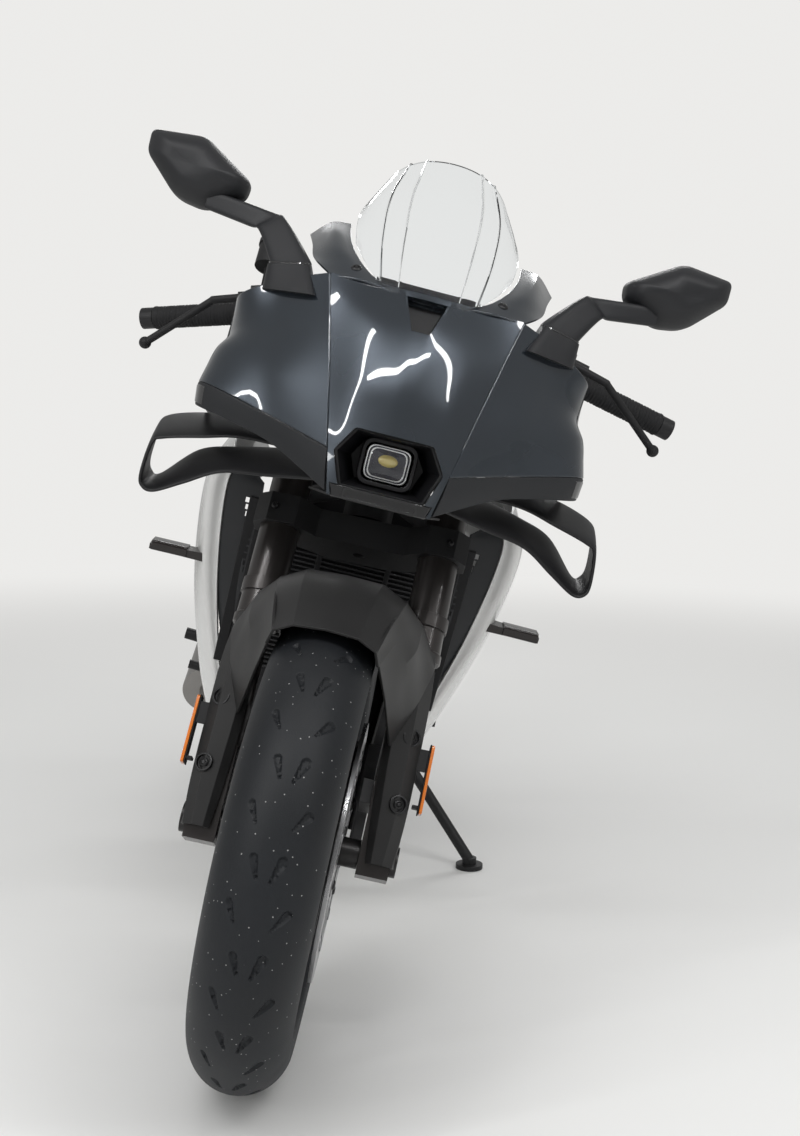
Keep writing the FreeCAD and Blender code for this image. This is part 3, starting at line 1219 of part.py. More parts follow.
# Place every sub-part, then move the whole so that its bounding box stands centred on the origin
doc.recompute()
rear_wheel_parts = ("rear_tyre", "rear_rim", "rear_disc", "rear_sprocket", "rear_axle")


def own_place(label):
    """Where a sub-part stands in the bike's frame, as parked."""
    if label in steered:
        return turned_fork
    if label in rear_wheel_parts:
        return wheel_place
    return Placement()


low, high = [1e9] * 3, [-1e9] * 3
for label, feature in subparts.items():
    shape = feature.Shape.copy()
    shape.Placement = stance.multiply(own_place(label)).multiply(shape.Placement)
    for point in shape.tessellate(0.5)[0]:
        for k in range(3):
            low[k] = min(low[k], point[k])
            high[k] = max(high[k], point[k])
shift = Vector(-(low[0] + high[0]) / 2, -(low[1] + high[1]) / 2, -low[2])
stance = Placement(stance.Base + shift, stance.Rotation)

for label, feature in subparts.items():
    feature.Placement = stance.multiply(own_place(label)).multiply(feature.Placement)
doc.recompute()
for checked in doc.Objects:
    if "Invalid" in checked.State or "Error" in checked.State:
        raise RuntimeError("not built: " + checked.Label)
os.makedirs("parts", exist_ok=True)
for label, feature in subparts.items():
    shape = feature.Shape
    if shape.isNull() or not shape.isValid():
        raise RuntimeError("bad shape: " + label)
    shape.exportStep("parts/" + label + ".step")
print("nodes", len(subparts), "size", [round(high[k] - low[k], 1) for k in range(3)], "shift", shift)
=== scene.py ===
import json
import math

import bpy
import numpy as np
from bpy.props import FloatProperty, FloatVectorProperty
from mathutils import Matrix, Vector


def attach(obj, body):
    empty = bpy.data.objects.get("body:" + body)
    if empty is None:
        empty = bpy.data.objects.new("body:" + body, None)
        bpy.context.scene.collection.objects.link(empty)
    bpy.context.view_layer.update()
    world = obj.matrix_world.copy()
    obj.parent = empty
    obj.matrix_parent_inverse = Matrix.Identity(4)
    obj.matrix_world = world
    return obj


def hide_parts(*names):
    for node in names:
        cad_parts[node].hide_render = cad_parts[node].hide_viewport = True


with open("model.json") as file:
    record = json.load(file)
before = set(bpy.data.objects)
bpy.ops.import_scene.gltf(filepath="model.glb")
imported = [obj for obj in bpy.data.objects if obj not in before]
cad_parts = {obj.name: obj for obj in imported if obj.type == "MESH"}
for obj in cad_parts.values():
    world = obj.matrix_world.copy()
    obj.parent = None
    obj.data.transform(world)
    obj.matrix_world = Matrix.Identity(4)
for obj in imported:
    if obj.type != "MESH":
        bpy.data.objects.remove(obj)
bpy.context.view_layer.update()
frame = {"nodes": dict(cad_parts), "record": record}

bl_info = {
    "name": "Sport bike dressing",
    "version": (1, 0, 0),
    "blender": (4, 5, 0),
    "location": "View3D > Sidebar > Sport bike",
    "description": "Dresses a road sport bike's solids with panels, tread, lamps, seats and finishes",
    "category": "Object",
}

NODES = frame["nodes"]

# The bike's own frame: x forward from the front axle, y to the rider's left, z up, in millimetres.
# It leans on its stand, so that frame is turned and moved in the row's frame, which is in metres.
MM = 0.001
SHIFT = Vector((-0.2213505184, -0.7462910217, 0.0))
LEAN_LIFT = 0.0027926018
LEAN = math.radians(-13)
PITCH = math.radians(0.396783)
STEERED = math.radians(-5.2)
RAKE = math.radians(24.5)
TRAIL = 98.0
FRONT_RADIUS, REAR_RADIUS = 300.0, 315.0
WHEELBASE = 1481.0
SKIN = 3.6
SEAM = 0.6


def moved(x, y, z):
    """A move given in millimetres."""
    return Matrix.Translation((x * MM, y * MM, z * MM))


STEM_X = -(FRONT_RADIUS * math.sin(RAKE) - TRAIL * math.cos(RAKE))
BIKE = (
    Matrix.Translation(SHIFT + Vector((0, 0, LEAN_LIFT))) @ Matrix.Rotation(math.radians(-90), 4, "Z")
    @ Matrix.Rotation(LEAN, 4, "X") @ Matrix.Rotation(PITCH, 4, "Y")
)
RAKED = moved(0, 0, FRONT_RADIUS) @ Matrix.Rotation(-RAKE, 4, "Y")
FORK = BIKE @ RAKED @ moved(STEM_X, 0, 0) @ Matrix.Rotation(STEERED, 4, "Z") @ moved(-STEM_X, 0, 0)
# each place is a frame and the body that rides in it
CHASSIS = (BIKE, "chassis")
FUEL_CAP = (BIKE, "fuel_cap")
STEERING = (FORK, "steering")
FRONT_WHEEL = (FORK, "front_wheel")
REAR_WHEEL = (BIKE @ moved(-WHEELBASE, 0, REAR_RADIUS), "rear_wheel")


# Shapes worked out as arrays of points, in millimetres

def ease(points, steps):
    """Smooth curve through the points along the first axis: cubic spans whose slope at each point is half
    the step between its neighbours."""
    p = np.asarray(points, float)
    ends = np.concatenate([2 * p[:1] - p[1:2], p, 2 * p[-1:] - p[-2:-1]])
    t = (np.arange(steps) / steps).reshape((1, steps) + (1,) * (p.ndim - 1))
    a, b, before, after = p[:-1, None], p[1:, None], ends[:-3, None], ends[3:, None]
    line = (
        a * (2 * t ** 3 - 3 * t ** 2 + 1) + b * (3 * t ** 2 - 2 * t ** 3)
        + (b - before) * (0.5 * (t ** 3 - 2 * t ** 2 + t)) + (after - a) * (0.5 * (t ** 3 - t ** 2))
    )
    return np.concatenate([line.reshape((-1,) + p.shape[1:]), p[-1:]])


def straight(points, steps):
    """Straight spans between the points along the first axis, each divided evenly."""
    p = np.asarray(points, float)
    t = (np.arange(steps) / steps).reshape((1, steps) + (1,) * (p.ndim - 1))
    line = p[:-1, None] * (1 - t) + p[1:, None] * t
    return np.concatenate([line.reshape((-1,) + p.shape[1:]), p[-1:]])


def surface(rows, down, across, along_rows=ease):
    """A smooth grid through rows of points: each row is eased across, then each column down."""
    rows = np.asarray(rows, float)
    fine = np.swapaxes(along_rows(np.swapaxes(rows, 0, 1), across), 0, 1)
    return ease(fine, down)


def whole(half):
    """A row from one edge to the centre plane, carried on to the other edge."""
    half = np.asarray(half, float)
    return np.concatenate([half, half[-2::-1] * (1, -1, 1)])


def grid_quads(rows, columns, round_rows=False, round_columns=False):
    """Corner numbers of the quads of a grid, closed on itself along either axis where asked."""
    i = np.arange(rows if round_rows else rows - 1)[:, None]
    j = np.arange(columns if round_columns else columns - 1)[None, :]
    k, l = (i + 1) % rows, (j + 1) % columns
    corners = [i * columns + j, k * columns + j, k * columns + l, i * columns + l]
    return np.stack(np.broadcast_arrays(*corners), -1).reshape(-1, 4)


def volume(points, faces):
    """Signed volume inside closed faces: the sum of the tetrahedra from the origin to each face's fan."""
    total = 0.0
    for group in faces:
        corners = points[group]
        for k in range(1, group.shape[1] - 1):
            total += np.einsum("ij,ij->i", corners[:, 0], np.cross(corners[:, k], corners[:, k + 1])).sum()
    return total / 6


def outwards(points, faces):
    """The same closed part with its faces turned outwards."""
    if volume(points - points.mean(0), faces) < 0:
        faces = [group[:, ::-1] for group in faces]
    return points, faces


def normals_of(grid):
    """Unit normals of a grid: the cross product of its two central differences."""
    n = np.cross(np.gradient(grid, axis=0), np.gradient(grid, axis=1))
    return n / np.maximum(np.linalg.norm(n, axis=2, keepdims=True), 1e-9)


def shell(grid, depth, outward):
    """A panel: the grid is its outer face, and the inner face lies depth behind it along the normals."""
    n = normals_of(grid)
    if (n @ np.asarray(outward, float)).mean() < 0:
        n = -n
    rows, columns = grid.shape[:2]
    under = grid - n * depth
    count = rows * columns
    index = np.arange(count).reshape(rows, columns)
    edge = np.concatenate([index[0, :-1], index[:-1, -1], index[-1, :0:-1], index[:0:-1, 0]])
    after = np.roll(edge, -1)
    top = grid_quads(rows, columns)
    rim = np.stack([edge, after, after + count, edge + count], 1)
    points = np.concatenate([grid.reshape(-1, 3), under.reshape(-1, 3)])
    return outwards(points, [top, top[:, ::-1] + count, rim])


def tube(rings):
    """A closed skin through rings of points, with a fan of triangles at each end."""
    rings = np.asarray(rings, float)
    rows, columns = rings.shape[:2]
    points = np.concatenate([rings.reshape(-1, 3), rings[[0, -1]].mean(1)])
    j = np.arange(columns)
    k = (j + 1) % columns
    last = (rows - 1) * columns
    caps = [
        np.stack([j, k, np.full(columns, rows * columns)], 1),
        np.stack([last + k, last + j, np.full(columns, rows * columns + 1)], 1),
    ]
    return outwards(points, [grid_quads(rows, columns, round_columns=True)] + caps)


def turns(count, shift=0.0):
    """Angles evenly round a full turn, moved on by a share of one step."""
    return 2 * np.pi * (np.arange(count) + shift) / count


def flattened(wave, power):
    """A sine or cosine raised to a power with its sign kept, which squares a round section."""
    return np.sign(wave) * np.abs(wave) ** power


def spun(profile, steps, start, along):
    """A turned part: (distance along, radius) pairs spun about a line."""
    profile = np.asarray(profile, float)
    start, along = np.asarray(start, float), np.asarray(along, float)
    along = along / np.linalg.norm(along)
    side = np.cross(along, (0, 0, 1) if abs(along[2]) < 0.9 else (1, 0, 0))
    side /= np.linalg.norm(side)
    other = np.cross(along, side)
    angle = turns(steps)
    ring = side * np.cos(angle)[:, None] + other * np.sin(angle)[:, None]
    return tube(start + along * profile[:, 0][:, None, None] + ring[None] * profile[:, 1][:, None, None])


def closed_loop(rings):
    """A ring-shaped part from a few rings of points, the last joined to the first."""
    rings = np.asarray(rings, float)
    return outwards(rings.reshape(-1, 3), [grid_quads(rings.shape[0], rings.shape[1], True, True)])


def plate_of(outline, low, high, axis):
    """A flat outline made thick along one axis; the outline's pairs are the other two, in order."""
    outline = np.asarray(outline, float)
    rings = np.array([np.insert(outline, axis, value, axis=1) for value in (low, high)])
    count = len(outline)
    low_cap = np.arange(count)[None]
    faces = [grid_quads(2, count, round_columns=True), low_cap, low_cap[:, ::-1] + count]
    return outwards(rings.reshape(-1, 3), faces)


def block(x, y, z):
    """A box from its ranges along the three axes."""
    return plate_of([(x[0], y[0]), (x[1], y[0]), (x[1], y[1]), (x[0], y[1])], z[0], z[1], 2)


def rounded_outline(corners, radius, steps=6):
    """A polygon whose corners are quadratic curves that start radius before each corner."""
    corners = np.asarray(corners, float)
    to_last, to_next = np.roll(corners, 1, 0) - corners, np.roll(corners, -1, 0) - corners
    last_length = np.linalg.norm(to_last, axis=1, keepdims=True)
    next_length = np.linalg.norm(to_next, axis=1, keepdims=True)
    radius = np.broadcast_to(radius, len(corners))[:, None]
    reach = np.minimum(radius, 0.49 * np.minimum(last_length, next_length))
    first = corners + to_last / last_length * reach
    last = corners + to_next / next_length * reach
    t = np.linspace(0, 1, steps)[None, :, None]
    curve = first[:, None] * (1 - t) ** 2 + corners[:, None] * 2 * t * (1 - t) + last[:, None] * t ** 2
    return curve.reshape(-1, corners.shape[1])


def rounded_box(half, low, high, radius, steps):
    """A rounded outline, as wide on both sides of the middle, from one height to another."""
    return rounded_outline([(half, low), (half, high), (-half, high), (-half, low)], radius, steps)


def ahead(outline, x):
    """An outline's (width, height) pairs, placed at one distance forward."""
    return np.insert(outline, 0, x, axis=1)


def with_arcs(outline, steps=10):
    """An outline whose points marked "via" are the middles of parabolas between their neighbours."""
    count = len(outline)
    pieces = []
    for i, point in enumerate(outline):
        after = outline[(i + 1) % count]
        if point[-1] == "via":
            continue
        a = np.array(point[:2], float)
        if after[-1] == "via":
            m, b = np.array(after[:2], float), np.array(outline[(i + 2) % count][:2], float)
            t = (np.arange(steps) / steps)[:, None]
            pieces.append(a * (1 - t) * (1 - 2 * t) + m * 4 * t * (1 - t) + b * t * (2 * t - 1))
        else:
            pieces.append(a[None])
    return np.concatenate(pieces)


def mirrored(part):
    """The same part on the rider's other side."""
    points, faces = part
    return points * (1, -1, 1), [group[:, ::-1] for group in faces]


def both(parts):
    """The parts and their mirrored twins."""
    return list(parts) + [mirrored(part) for part in parts]


def joined(parts):
    """Several closed parts as one list of points and faces."""
    points, faces, start = [], [], 0
    for own, groups in parts:
        points.append(own)
        faces += [group + start for group in groups]
        start += len(own)
    return np.concatenate(points), faces


def fill_mesh(name, points, faces):
    """Puts points, in the row's frame, and faces into a new mesh."""
    mesh = bpy.data.meshes.new(name)
    flat = np.concatenate([group.ravel() for group in faces]).astype(np.int32)
    sizes = np.concatenate([np.full(len(group), group.shape[1]) for group in faces])
    mesh.vertices.add(len(points))
    mesh.vertices.foreach_set("co", np.ascontiguousarray(points, np.float32).ravel())
    mesh.loops.add(len(flat))
    mesh.loops.foreach_set("vertex_index", flat)
    mesh.polygons.add(len(sizes))
    mesh.polygons.foreach_set("loop_start", (np.cumsum(sizes) - sizes).astype(np.int32))
    mesh.update(calc_edges=True)
    mesh.validate()
    return mesh


def placed(points, matrix):
    """Points in millimetres of a part's own frame, as metres in the row's frame."""
    m = np.array(matrix)
    return points * MM @ m[:3, :3].T + m[:3, 3]


def bare_object(name, parts, matrix):
    """The parts as one object with nothing else on it."""
    points, faces = joined(parts)
    thing = bpy.data.objects.new(name, fill_mesh(name, placed(points, matrix), faces))
    bpy.context.scene.collection.objects.link(thing)
    return thing


def modified(thing):
    """The mesh that the object's modifiers make of it."""
    depsgraph = bpy.context.evaluated_depsgraph_get()
    return bpy.data.meshes.new_from_object(thing.evaluated_get(depsgraph))


def trimmed(thing, cutters, matrix):
    """The object after each cutter is taken from it, kept with it or added to it."""
    for operation, part in cutters:
        tool = bare_object("cutter", [part], matrix)
        change = thing.modifiers.new("trim", "BOOLEAN")
        change.operation = operation
        change.solver = "EXACT"
        change.object = tool
        mesh = modified(thing)
        thing.modifiers.clear()
        old, thing.data = thing.data, mesh
        bpy.data.meshes.remove(old)
        bpy.data.objects.remove(tool)
    return thing


def dress(thing, name, body, slot):
    """Gives an object its mesh's name, smooth faces, finish, body and slot."""
    thing.data.name = name
    thing.data.polygons.foreach_set("use_smooth", np.ones(len(thing.data.polygons), bool))
    thing.data.materials.clear()
    thing.data.materials.append(FINISHES[slot])
    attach(thing, body)


def piece(name, parts, place, slot, replaces=(), smooth=30.0, bevel=0.0, segments=2, bend=32.0, cutters=()):
    """A finished piece: its parts in one mesh, trimmed, shaded smooth below an angle, its edges rounded."""
    matrix, body = place
    thing = trimmed(bare_object(name, parts, matrix), cutters, matrix)
    dress(thing, name, body, slot)
    thing.data.set_sharp_from_angle(angle=math.radians(smooth))
    if bevel:
        rounding = thing.modifiers.new("rounded edges", "BEVEL")
        rounding.width = bevel * MM
        rounding.segments = segments
        rounding.limit_method = "ANGLE"
        rounding.angle_limit = math.radians(bend)
        rounding.use_clamp_overlap = True
        rounding.harden_normals = True
    if replaces:
        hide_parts(*replaces)
    return thing


# Node groups: effects that more than one finish uses

class Tree:
    """A short hand for filling a node tree."""

    def __init__(self, tree):
        self.tree = tree

    def add(self, kind, **values):
        """A new node: a name that starts with in_ is an input's value, any other is a setting."""
        node = self.tree.nodes.new("ShaderNode" + kind)
        for key, value in values.items():
            if key.startswith("in_"):
                node.inputs[key[3:].replace("_", " ")].default_value = value
            else:
                setattr(node, key, value)
        return node

    def link(self, start, output, end, entry):
        self.tree.links.new(start.outputs[output], end.inputs[entry])

    def noise(self, **values):
        """Noise on the object's own coordinates."""
        node = self.add("TexNoise", **values)
        self.link(self.add("TexCoord"), "Object", node, "Vector")
        return node

    def spread(self, start, output, low, high, to_low=0.0, to_high=1.0):
        """What lies between two values, spread over another range."""
        node = self.add("MapRange", in_From_Min=low, in_From_Max=high, in_To_Min=to_low, in_To_Max=to_high)
        self.link(start, output, node, "Value")
        return node

    def compare(self, operation, start, output, value):
        """One value set against a plain one."""
        node = self.add("Math", operation=operation)
        node.inputs[1].default_value = value
        self.link(start, output, node, 0)
        return node

    def join(self, operation, first, output, second, other):
        """Two values worked into one, such as their product."""
        node = self.add("Math", operation=operation)
        self.link(first, output, node, 0)
        self.link(second, other, node, 1)
        return node

    def effect(self, name, **values):
        """One of the shared groups, with its own values."""
        return self.add("Group", node_tree=GROUPS[name], **values)


def new_group(name, inputs, outputs):
    """An empty shader node group with the named sockets."""
    group = bpy.data.node_groups.new(name, "ShaderNodeTree")
    for label, value in inputs.items():
        kind = "NodeSocketVector" if isinstance(value, tuple) else "NodeSocketFloat"
        socket = group.interface.new_socket(name=label, in_out="INPUT", socket_type=kind)
        socket.default_value = value
    for label in outputs:
        kind = "NodeSocketVector" if label == "Normal" else "NodeSocketFloat"
        group.interface.new_socket(name=label, in_out="OUTPUT", socket_type=kind)
    return Tree(group), group.nodes.new("NodeGroupInput"), group.nodes.new("NodeGroupOutput")


def grain_group():
    """Moulded grain: two sizes of noise on the object's own coordinates, as a height and a mask."""
    inputs = {"Scale": 900.0, "Patch Scale": 6.0}
    tree, source, sink = new_group("Moulded grain", inputs, ["Height", "Patches"])
    fine = tree.noise(in_Detail=2.0, in_Roughness=0.6)
    broad = tree.noise(in_Detail=3.0, in_Roughness=0.55)
    tree.link(source, "Scale", fine, "Scale")
    tree.link(source, "Patch Scale", broad, "Scale")
    tree.link(fine, "Fac", sink, "Height")
    tree.link(broad, "Fac", sink, "Patches")
    return tree.tree


def wear_group():
    """Edge wear: where a rounded normal leaves the face's own, broken up by noise, is an edge."""
    tree, source, sink = new_group("Edge wear", {"Radius": 0.0015, "Amount": 0.5}, ["Mask", "Normal"])
    rounded = tree.add("Bevel", samples=4)
    tree.link(source, "Radius", rounded, "Radius")
    dot = tree.add("VectorMath", operation="DOT_PRODUCT")
    tree.link(rounded, "Normal", dot, 0)
    tree.link(tree.add("NewGeometry"), "Normal", dot, 1)
    edge = tree.spread(dot, "Value", 0.995, 0.9)
    cut = tree.spread(tree.noise(in_Scale=60.0, in_Detail=4.0), "Fac", 0.48, 0.68)
    worn = tree.join("MULTIPLY", edge, "Result", cut, "Result")
    scaled = tree.join("MULTIPLY", worn, "Value", source, "Amount")
    tree.link(scaled, "Value", sink, "Mask")
    tree.link(rounded, "Normal", sink, "Normal")
    return tree.tree


def dust_group():
    """Dust: lies on faces that look up, thinner where noise says so."""
    tree, source, sink = new_group("Dust", {"Amount": 0.2, "Scale": 9.0}, ["Mask"])
    split = tree.add("SeparateXYZ")
    tree.link(tree.add("NewGeometry"), "Normal", split, "Vector")
    up = tree.spread(split, "Z", -0.2, 1.0)
    cloud = tree.noise(in_Detail=5.0, in_Roughness=0.65)
    tree.link(source, "Scale", cloud, "Scale")
    cut = tree.spread(cloud, "Fac", 0.35, 0.8)
    lying = tree.join("MULTIPLY", up, "Result", cut, "Result")
    scaled = tree.join("MULTIPLY", lying, "Value", source, "Amount")
    tree.link(scaled, "Value", sink, "Mask")
    return tree.tree


def brushed_group():
    """Brushed or ground metal: noise drawn out along one axis."""
    tree, source, sink = new_group("Brushed lines", {"Stretch": (4.0, 900.0, 900.0)}, ["Height"])
    drawn = tree.add("Mapping")
    tree.link(tree.add("TexCoord"), "Object", drawn, "Vector")
    tree.link(source, "Stretch", drawn, "Scale")
    lines = tree.add("TexNoise", in_Scale=1.0, in_Detail=2.0)
    tree.link(drawn, "Vector", lines, "Vector")
    tree.link(lines, "Fac", sink, "Height")
    return tree.tree


GROUPS = {}
FINISHES = {}
DUST_COLOR = (0.42, 0.40, 0.37, 1)
WEAR_RADIUS = 0.0012
BUMP_HEIGHT = 0.0003
BRUSHED_STRENGTH = 0.25
MATTE_SPECULAR = 0.32


def new_material(name):
    """A new material, its node tree and its principled shader."""
    material = bpy.data.materials.new(name)
    material.use_nodes = True
    return material, Tree(material.node_tree), material.node_tree.nodes["Principled BSDF"]


def finish(slot, look, colors):
    """A principled finish: colour patches, worn edges, dust, and grain or brushing as bump."""
    color, roughness, metallic, grain, grain_scale, coat, coat_rough, patch, worn, dust = look
    color = tuple(getattr(colors, color) if isinstance(color, str) else color)
    material, tree, shader = new_material(slot)
    shader.inputs["Metallic"].default_value = metallic
    if coat:
        shader.inputs["Coat Weight"].default_value = coat
        shader.inputs["Coat Roughness"].default_value = coat_rough
    if slot in MATTE:
        shader.inputs["Specular IOR Level"].default_value = MATTE_SPECULAR
    grained = tree.effect("grain", in_Scale=grain_scale)
    worn_at = tree.effect("wear", in_Radius=WEAR_RADIUS, in_Amount=worn)
    dusty = tree.effect("dust", in_Amount=dust)
    shade = tree.spread(grained, "Patches", 0.3, 0.7, 1.0 - patch, 1.0 + patch)
    base = tree.add("VectorMath", operation="SCALE")
    base.inputs[0].default_value = color
    tree.link(shade, "Result", base, "Scale")
    worn_color = [min(1.0, c * 1.8 + 0.05) for c in color]
    edged = tree.add("Mix", data_type="RGBA", in_B=(*worn_color, 1))
    tree.link(worn_at, "Mask", edged, "Factor")
    tree.link(base, "Vector", edged, "A")
    dusted = tree.add("Mix", data_type="RGBA", in_B=DUST_COLOR)
    tree.link(dusty, "Mask", dusted, "Factor")
    tree.link(edged, "Result", dusted, "A")
    tree.link(dusted, "Result", shader, "Base Color")
    uneven = 0.14 * roughness
    smoothest, roughest = max(0.02, roughness - uneven), min(1.0, roughness + uneven)
    rough = tree.spread(grained, "Patches", 0.3, 0.7, smoothest, roughest)
    duller = tree.compare("MULTIPLY_ADD", dusty, "Mask", 0.5)
    tree.link(rough, "Result", duller, 2)
    tree.link(duller, "Value", shader, "Roughness")
    stretch = STRETCHES.get(slot)
    strength = BRUSHED_STRENGTH if stretch else max(grain, 0.001)
    bump = tree.add("Bump", in_Strength=strength, in_Distance=BUMP_HEIGHT)
    relief = tree.effect("brushed", in_Stretch=stretch) if stretch else grained
    tree.link(relief, "Height", bump, "Height")
    tree.link(worn_at, "Normal", bump, "Normal")
    tree.link(bump, "Normal", shader, "Normal")
    return material


# slot: colour or the name of one of the paints, roughness, metallic, grain, grain scale, coat,
# coat roughness, patch, worn, dust
LOOKS = {
    # near-black rubber; its slight blue tint is a painted sheen
    "tyre_rubber": ((0.0085, 0.010, 0.0125), 0.55, 0, 0.5, 700, 0, 0, 0.22, 0.1, 0.02),
    "wheel_paint": ((0.014, 0.014, 0.015), 0.35, 0, 0.1, 500, 0.3, 0.2, 0.06, 0.15, 0.04),
    "disc_steel": ((0.42, 0.42, 0.43), 0.3, 1, 0, 400, 0, 0, 0.05, 0.1, 0.0),
    "axle_steel": ((0.035, 0.034, 0.034), 0.35, 0.7, 0.05, 400, 0, 0, 0.05, 0.1, 0.0),
    "fork_dark": ((0.030, 0.026, 0.025), 0.34, 0.5, 0.05, 600, 0.3, 0.15, 0.05, 0.1, 0.02),
    "cast_black": ((0.012, 0.012, 0.013), 0.5, 0, 0.35, 800, 0, 0, 0.08, 0.2, 0.03),
    "grip_rubber": ((0.012, 0.012, 0.013), 0.75, 0, 0.4, 1200, 0, 0, 0.06, 0.1, 0.03),
    "control_black": ((0.011, 0.011, 0.012), 0.55, 0, 0.4, 1400, 0, 0, 0.06, 0.15, 0.03),
    "guard_grey": ((0.018, 0.0178, 0.018), 0.46, 0, 0.3, 1400, 0, 0, 0.05, 0.15, 0.01),
    "reflector_amber": ("amber", 0.2, 0, 0, 400, 0.6, 0.05, 0.05, 0.0, 0.0),
    "caliper_grey": ((0.03, 0.03, 0.032), 0.42, 0.2, 0.4, 900, 0, 0, 0.06, 0.2, 0.04),
    "engine_dark": ((0.055, 0.055, 0.058), 0.5, 0.7, 0.5, 500, 0, 0, 0.08, 0.2, 0.06),
    "paint_navy": ("body", 0.26, 0.6, 0, 400, 1.0, 0.03, 0.05, 0.0, 0.0),
    "panel_navy": ("body", 0.26, 0.6, 0, 400, 1.0, 0.03, 0.05, 0.0, 0.0),
    "cap_black": ((0.03, 0.03, 0.031), 0.35, 0.8, 0.1, 600, 0, 0, 0.05, 0.2, 0.02),
    "seat_vinyl": ((0.02, 0.02, 0.021), 0.6, 0, 0.8, 520, 0, 0, 0.08, 0.1, 0.05),
    "lamp_red": ((0.4, 0.012, 0.012), 0.12, 0, 0, 400, 0.8, 0.03, 0.04, 0.0, 0.0),
    "lamp_smoke": ((0.010, 0.006, 0.005), 0.2, 0, 0, 400, 0.3, 0.05, 0.04, 0.0, 0.0),
    "spring_steel": ((0.06, 0.06, 0.065), 0.4, 0.6, 0.1, 600, 0, 0, 0.05, 0.15, 0.05),
    "chain_steel": ((0.16, 0.15, 0.14), 0.4, 1, 0.1, 600, 0, 0, 0.1, 0.2, 0.06),
    "exhaust_steel": ((0.30, 0.29, 0.28), 0.36, 1, 0, 400, 0, 0, 0.08, 0.1, 0.0),
    "radiator_black": ((0.012, 0.012, 0.013), 0.5, 0.2, 0.1, 600, 0, 0, 0.06, 0.3, 0.05),
    "trim_dark": ((0.015, 0.016, 0.018), 0.42, 0, 0.35, 1500, 0, 0, 0.05, 0.15, 0.01),
    "wing_black": ((0.008, 0.008, 0.009), 0.42, 0, 0.3, 1500, 0, 0, 0.05, 0.1, 0.01),
    "mirror_shell": ((0.015, 0.0155, 0.0175), 0.44, 0, 0.45, 1500, 0, 0, 0.05, 0.1, 0.01),
    "mirror_face": ((0.8, 0.82, 0.85), 0.02, 1, 0, 400, 0, 0, 0.0, 0.0, 0.0),
    "panel_white": ("side", 0.25, 0, 0, 400, 0.8, 0.04, 0.02, 0.0, 0.0),
    "lens_black": ((0.008, 0.008, 0.009), 0.1, 0, 0, 400, 1.0, 0.02, 0.02, 0.0, 0.0),
    "fastener_black": ((0.02, 0.02, 0.021), 0.35, 0.5, 0.1, 900, 0, 0, 0.05, 0.3, 0.02),
    "fastener_steel": ((0.35, 0.35, 0.36), 0.35, 1, 0.1, 900, 0, 0, 0.05, 0.2, 0.02),
    "chrome_bright": ((0.75, 0.75, 0.76), 0.08, 1, 0, 400, 0, 0, 0.03, 0.0, 0.0),
    # recess_black is the headlamp housing's own black, and on the scoop's floor it is painted shade
    "recess_black": ((0.005, 0.005, 0.006), 0.45, 0, 0.2, 1200, 0, 0, 0.05, 0.05, 0.0),
    "bowl_dark": ((0.06, 0.06, 0.07), 0.14, 1, 0, 400, 0, 0, 0.1, 0.0, 0.0),
    "lamp_glow": ((0.75, 0.6, 0.2), 0.08, 0, 0, 900, 1.0, 0.05, 0.06, 0.3, 0.12),
    "fin_grey": ((0.045, 0.045, 0.047), 0.45, 0.4, 0.1, 600, 0, 0, 0.06, 0.3, 0.05),
}
MATTE = {
    "tyre_rubber", "cast_black", "grip_rubber", "control_black", "guard_grey", "trim_dark", "wing_black",
    "mirror_shell", "recess_black", "seat_vinyl", "lamp_smoke", "radiator_black", "fin_grey", "wheel_paint",
}
GLASSES = {
    # tint, roughness, IOR
    "lens_clear": ((0.96, 0.97, 0.97), 0.03, 1.3),
    "screen_clear": ((0.93, 0.95, 0.96), 0.02, 1.2),
}
STRETCHES = {"disc_steel": (900, 900, 900), "exhaust_steel": (500, 30, 500), "axle_steel": (900, 60, 900)}


def glass_finish(slot, tint, roughness, ior):
    """Clear moulded plastic, a little hazier where noise says so."""
    material, tree, shader = new_material(slot)
    shader.inputs["Base Color"].default_value = (*tint, 1)
    shader.inputs["Transmission Weight"].default_value = 1.0
    shader.inputs["IOR"].default_value = ior
    haze = tree.spread(tree.effect("grain"), "Patches", 0.3, 0.7, roughness * 0.5, roughness * 1.5)
    tree.link(haze, "Result", shader, "Roughness")
    return material


def add_specks(material):
    """Pale dust specks: the middles of random cells, kept where each cell's own colour is high."""
    tree = Tree(material.node_tree)
    shader = material.node_tree.nodes["Principled BSDF"]
    shader.inputs["Specular IOR Level"].default_value = 0.3
    cells = tree.add("TexVoronoi", in_Scale=210.0)
    tree.link(tree.add("TexCoord"), "Object", cells, "Vector")
    dot = tree.compare("LESS_THAN", cells, "Distance", 0.16)
    chosen = tree.add("SeparateColor")
    tree.link(cells, "Color", chosen, "Color")
    rare = tree.compare("GREATER_THAN", chosen, "Red", 0.86)
    speck = tree.join("MULTIPLY", dot, "Value", rare, "Value")
    plain = shader.inputs["Base Color"].links[0].from_socket
    speckled = tree.add("Mix", data_type="RGBA", in_B=(0.3, 0.3, 0.3, 1))
    tree.link(speck, "Value", speckled, "Factor")
    tree.tree.links.new(plain, speckled.inputs["A"])
    tree.link(speckled, "Result", shader, "Base Color")


class Paints(bpy.types.PropertyGroup):
    """Colours of the painted panels and of the reflectors"""
    body: FloatVectorProperty(
        name="Body", description="Nose, cowls, shoulders, tank and tail", default=(0.021, 0.0285, 0.038),
        subtype="COLOR")
    side: FloatVectorProperty(
        name="Side panels", description="Side fairings and belly pan", default=(0.66, 0.66, 0.65),
        subtype="COLOR")
    amber: FloatVectorProperty(
        name="Reflectors", description="Reflectors on the fork", default=(0.75, 0.19, 0.015), subtype="COLOR")


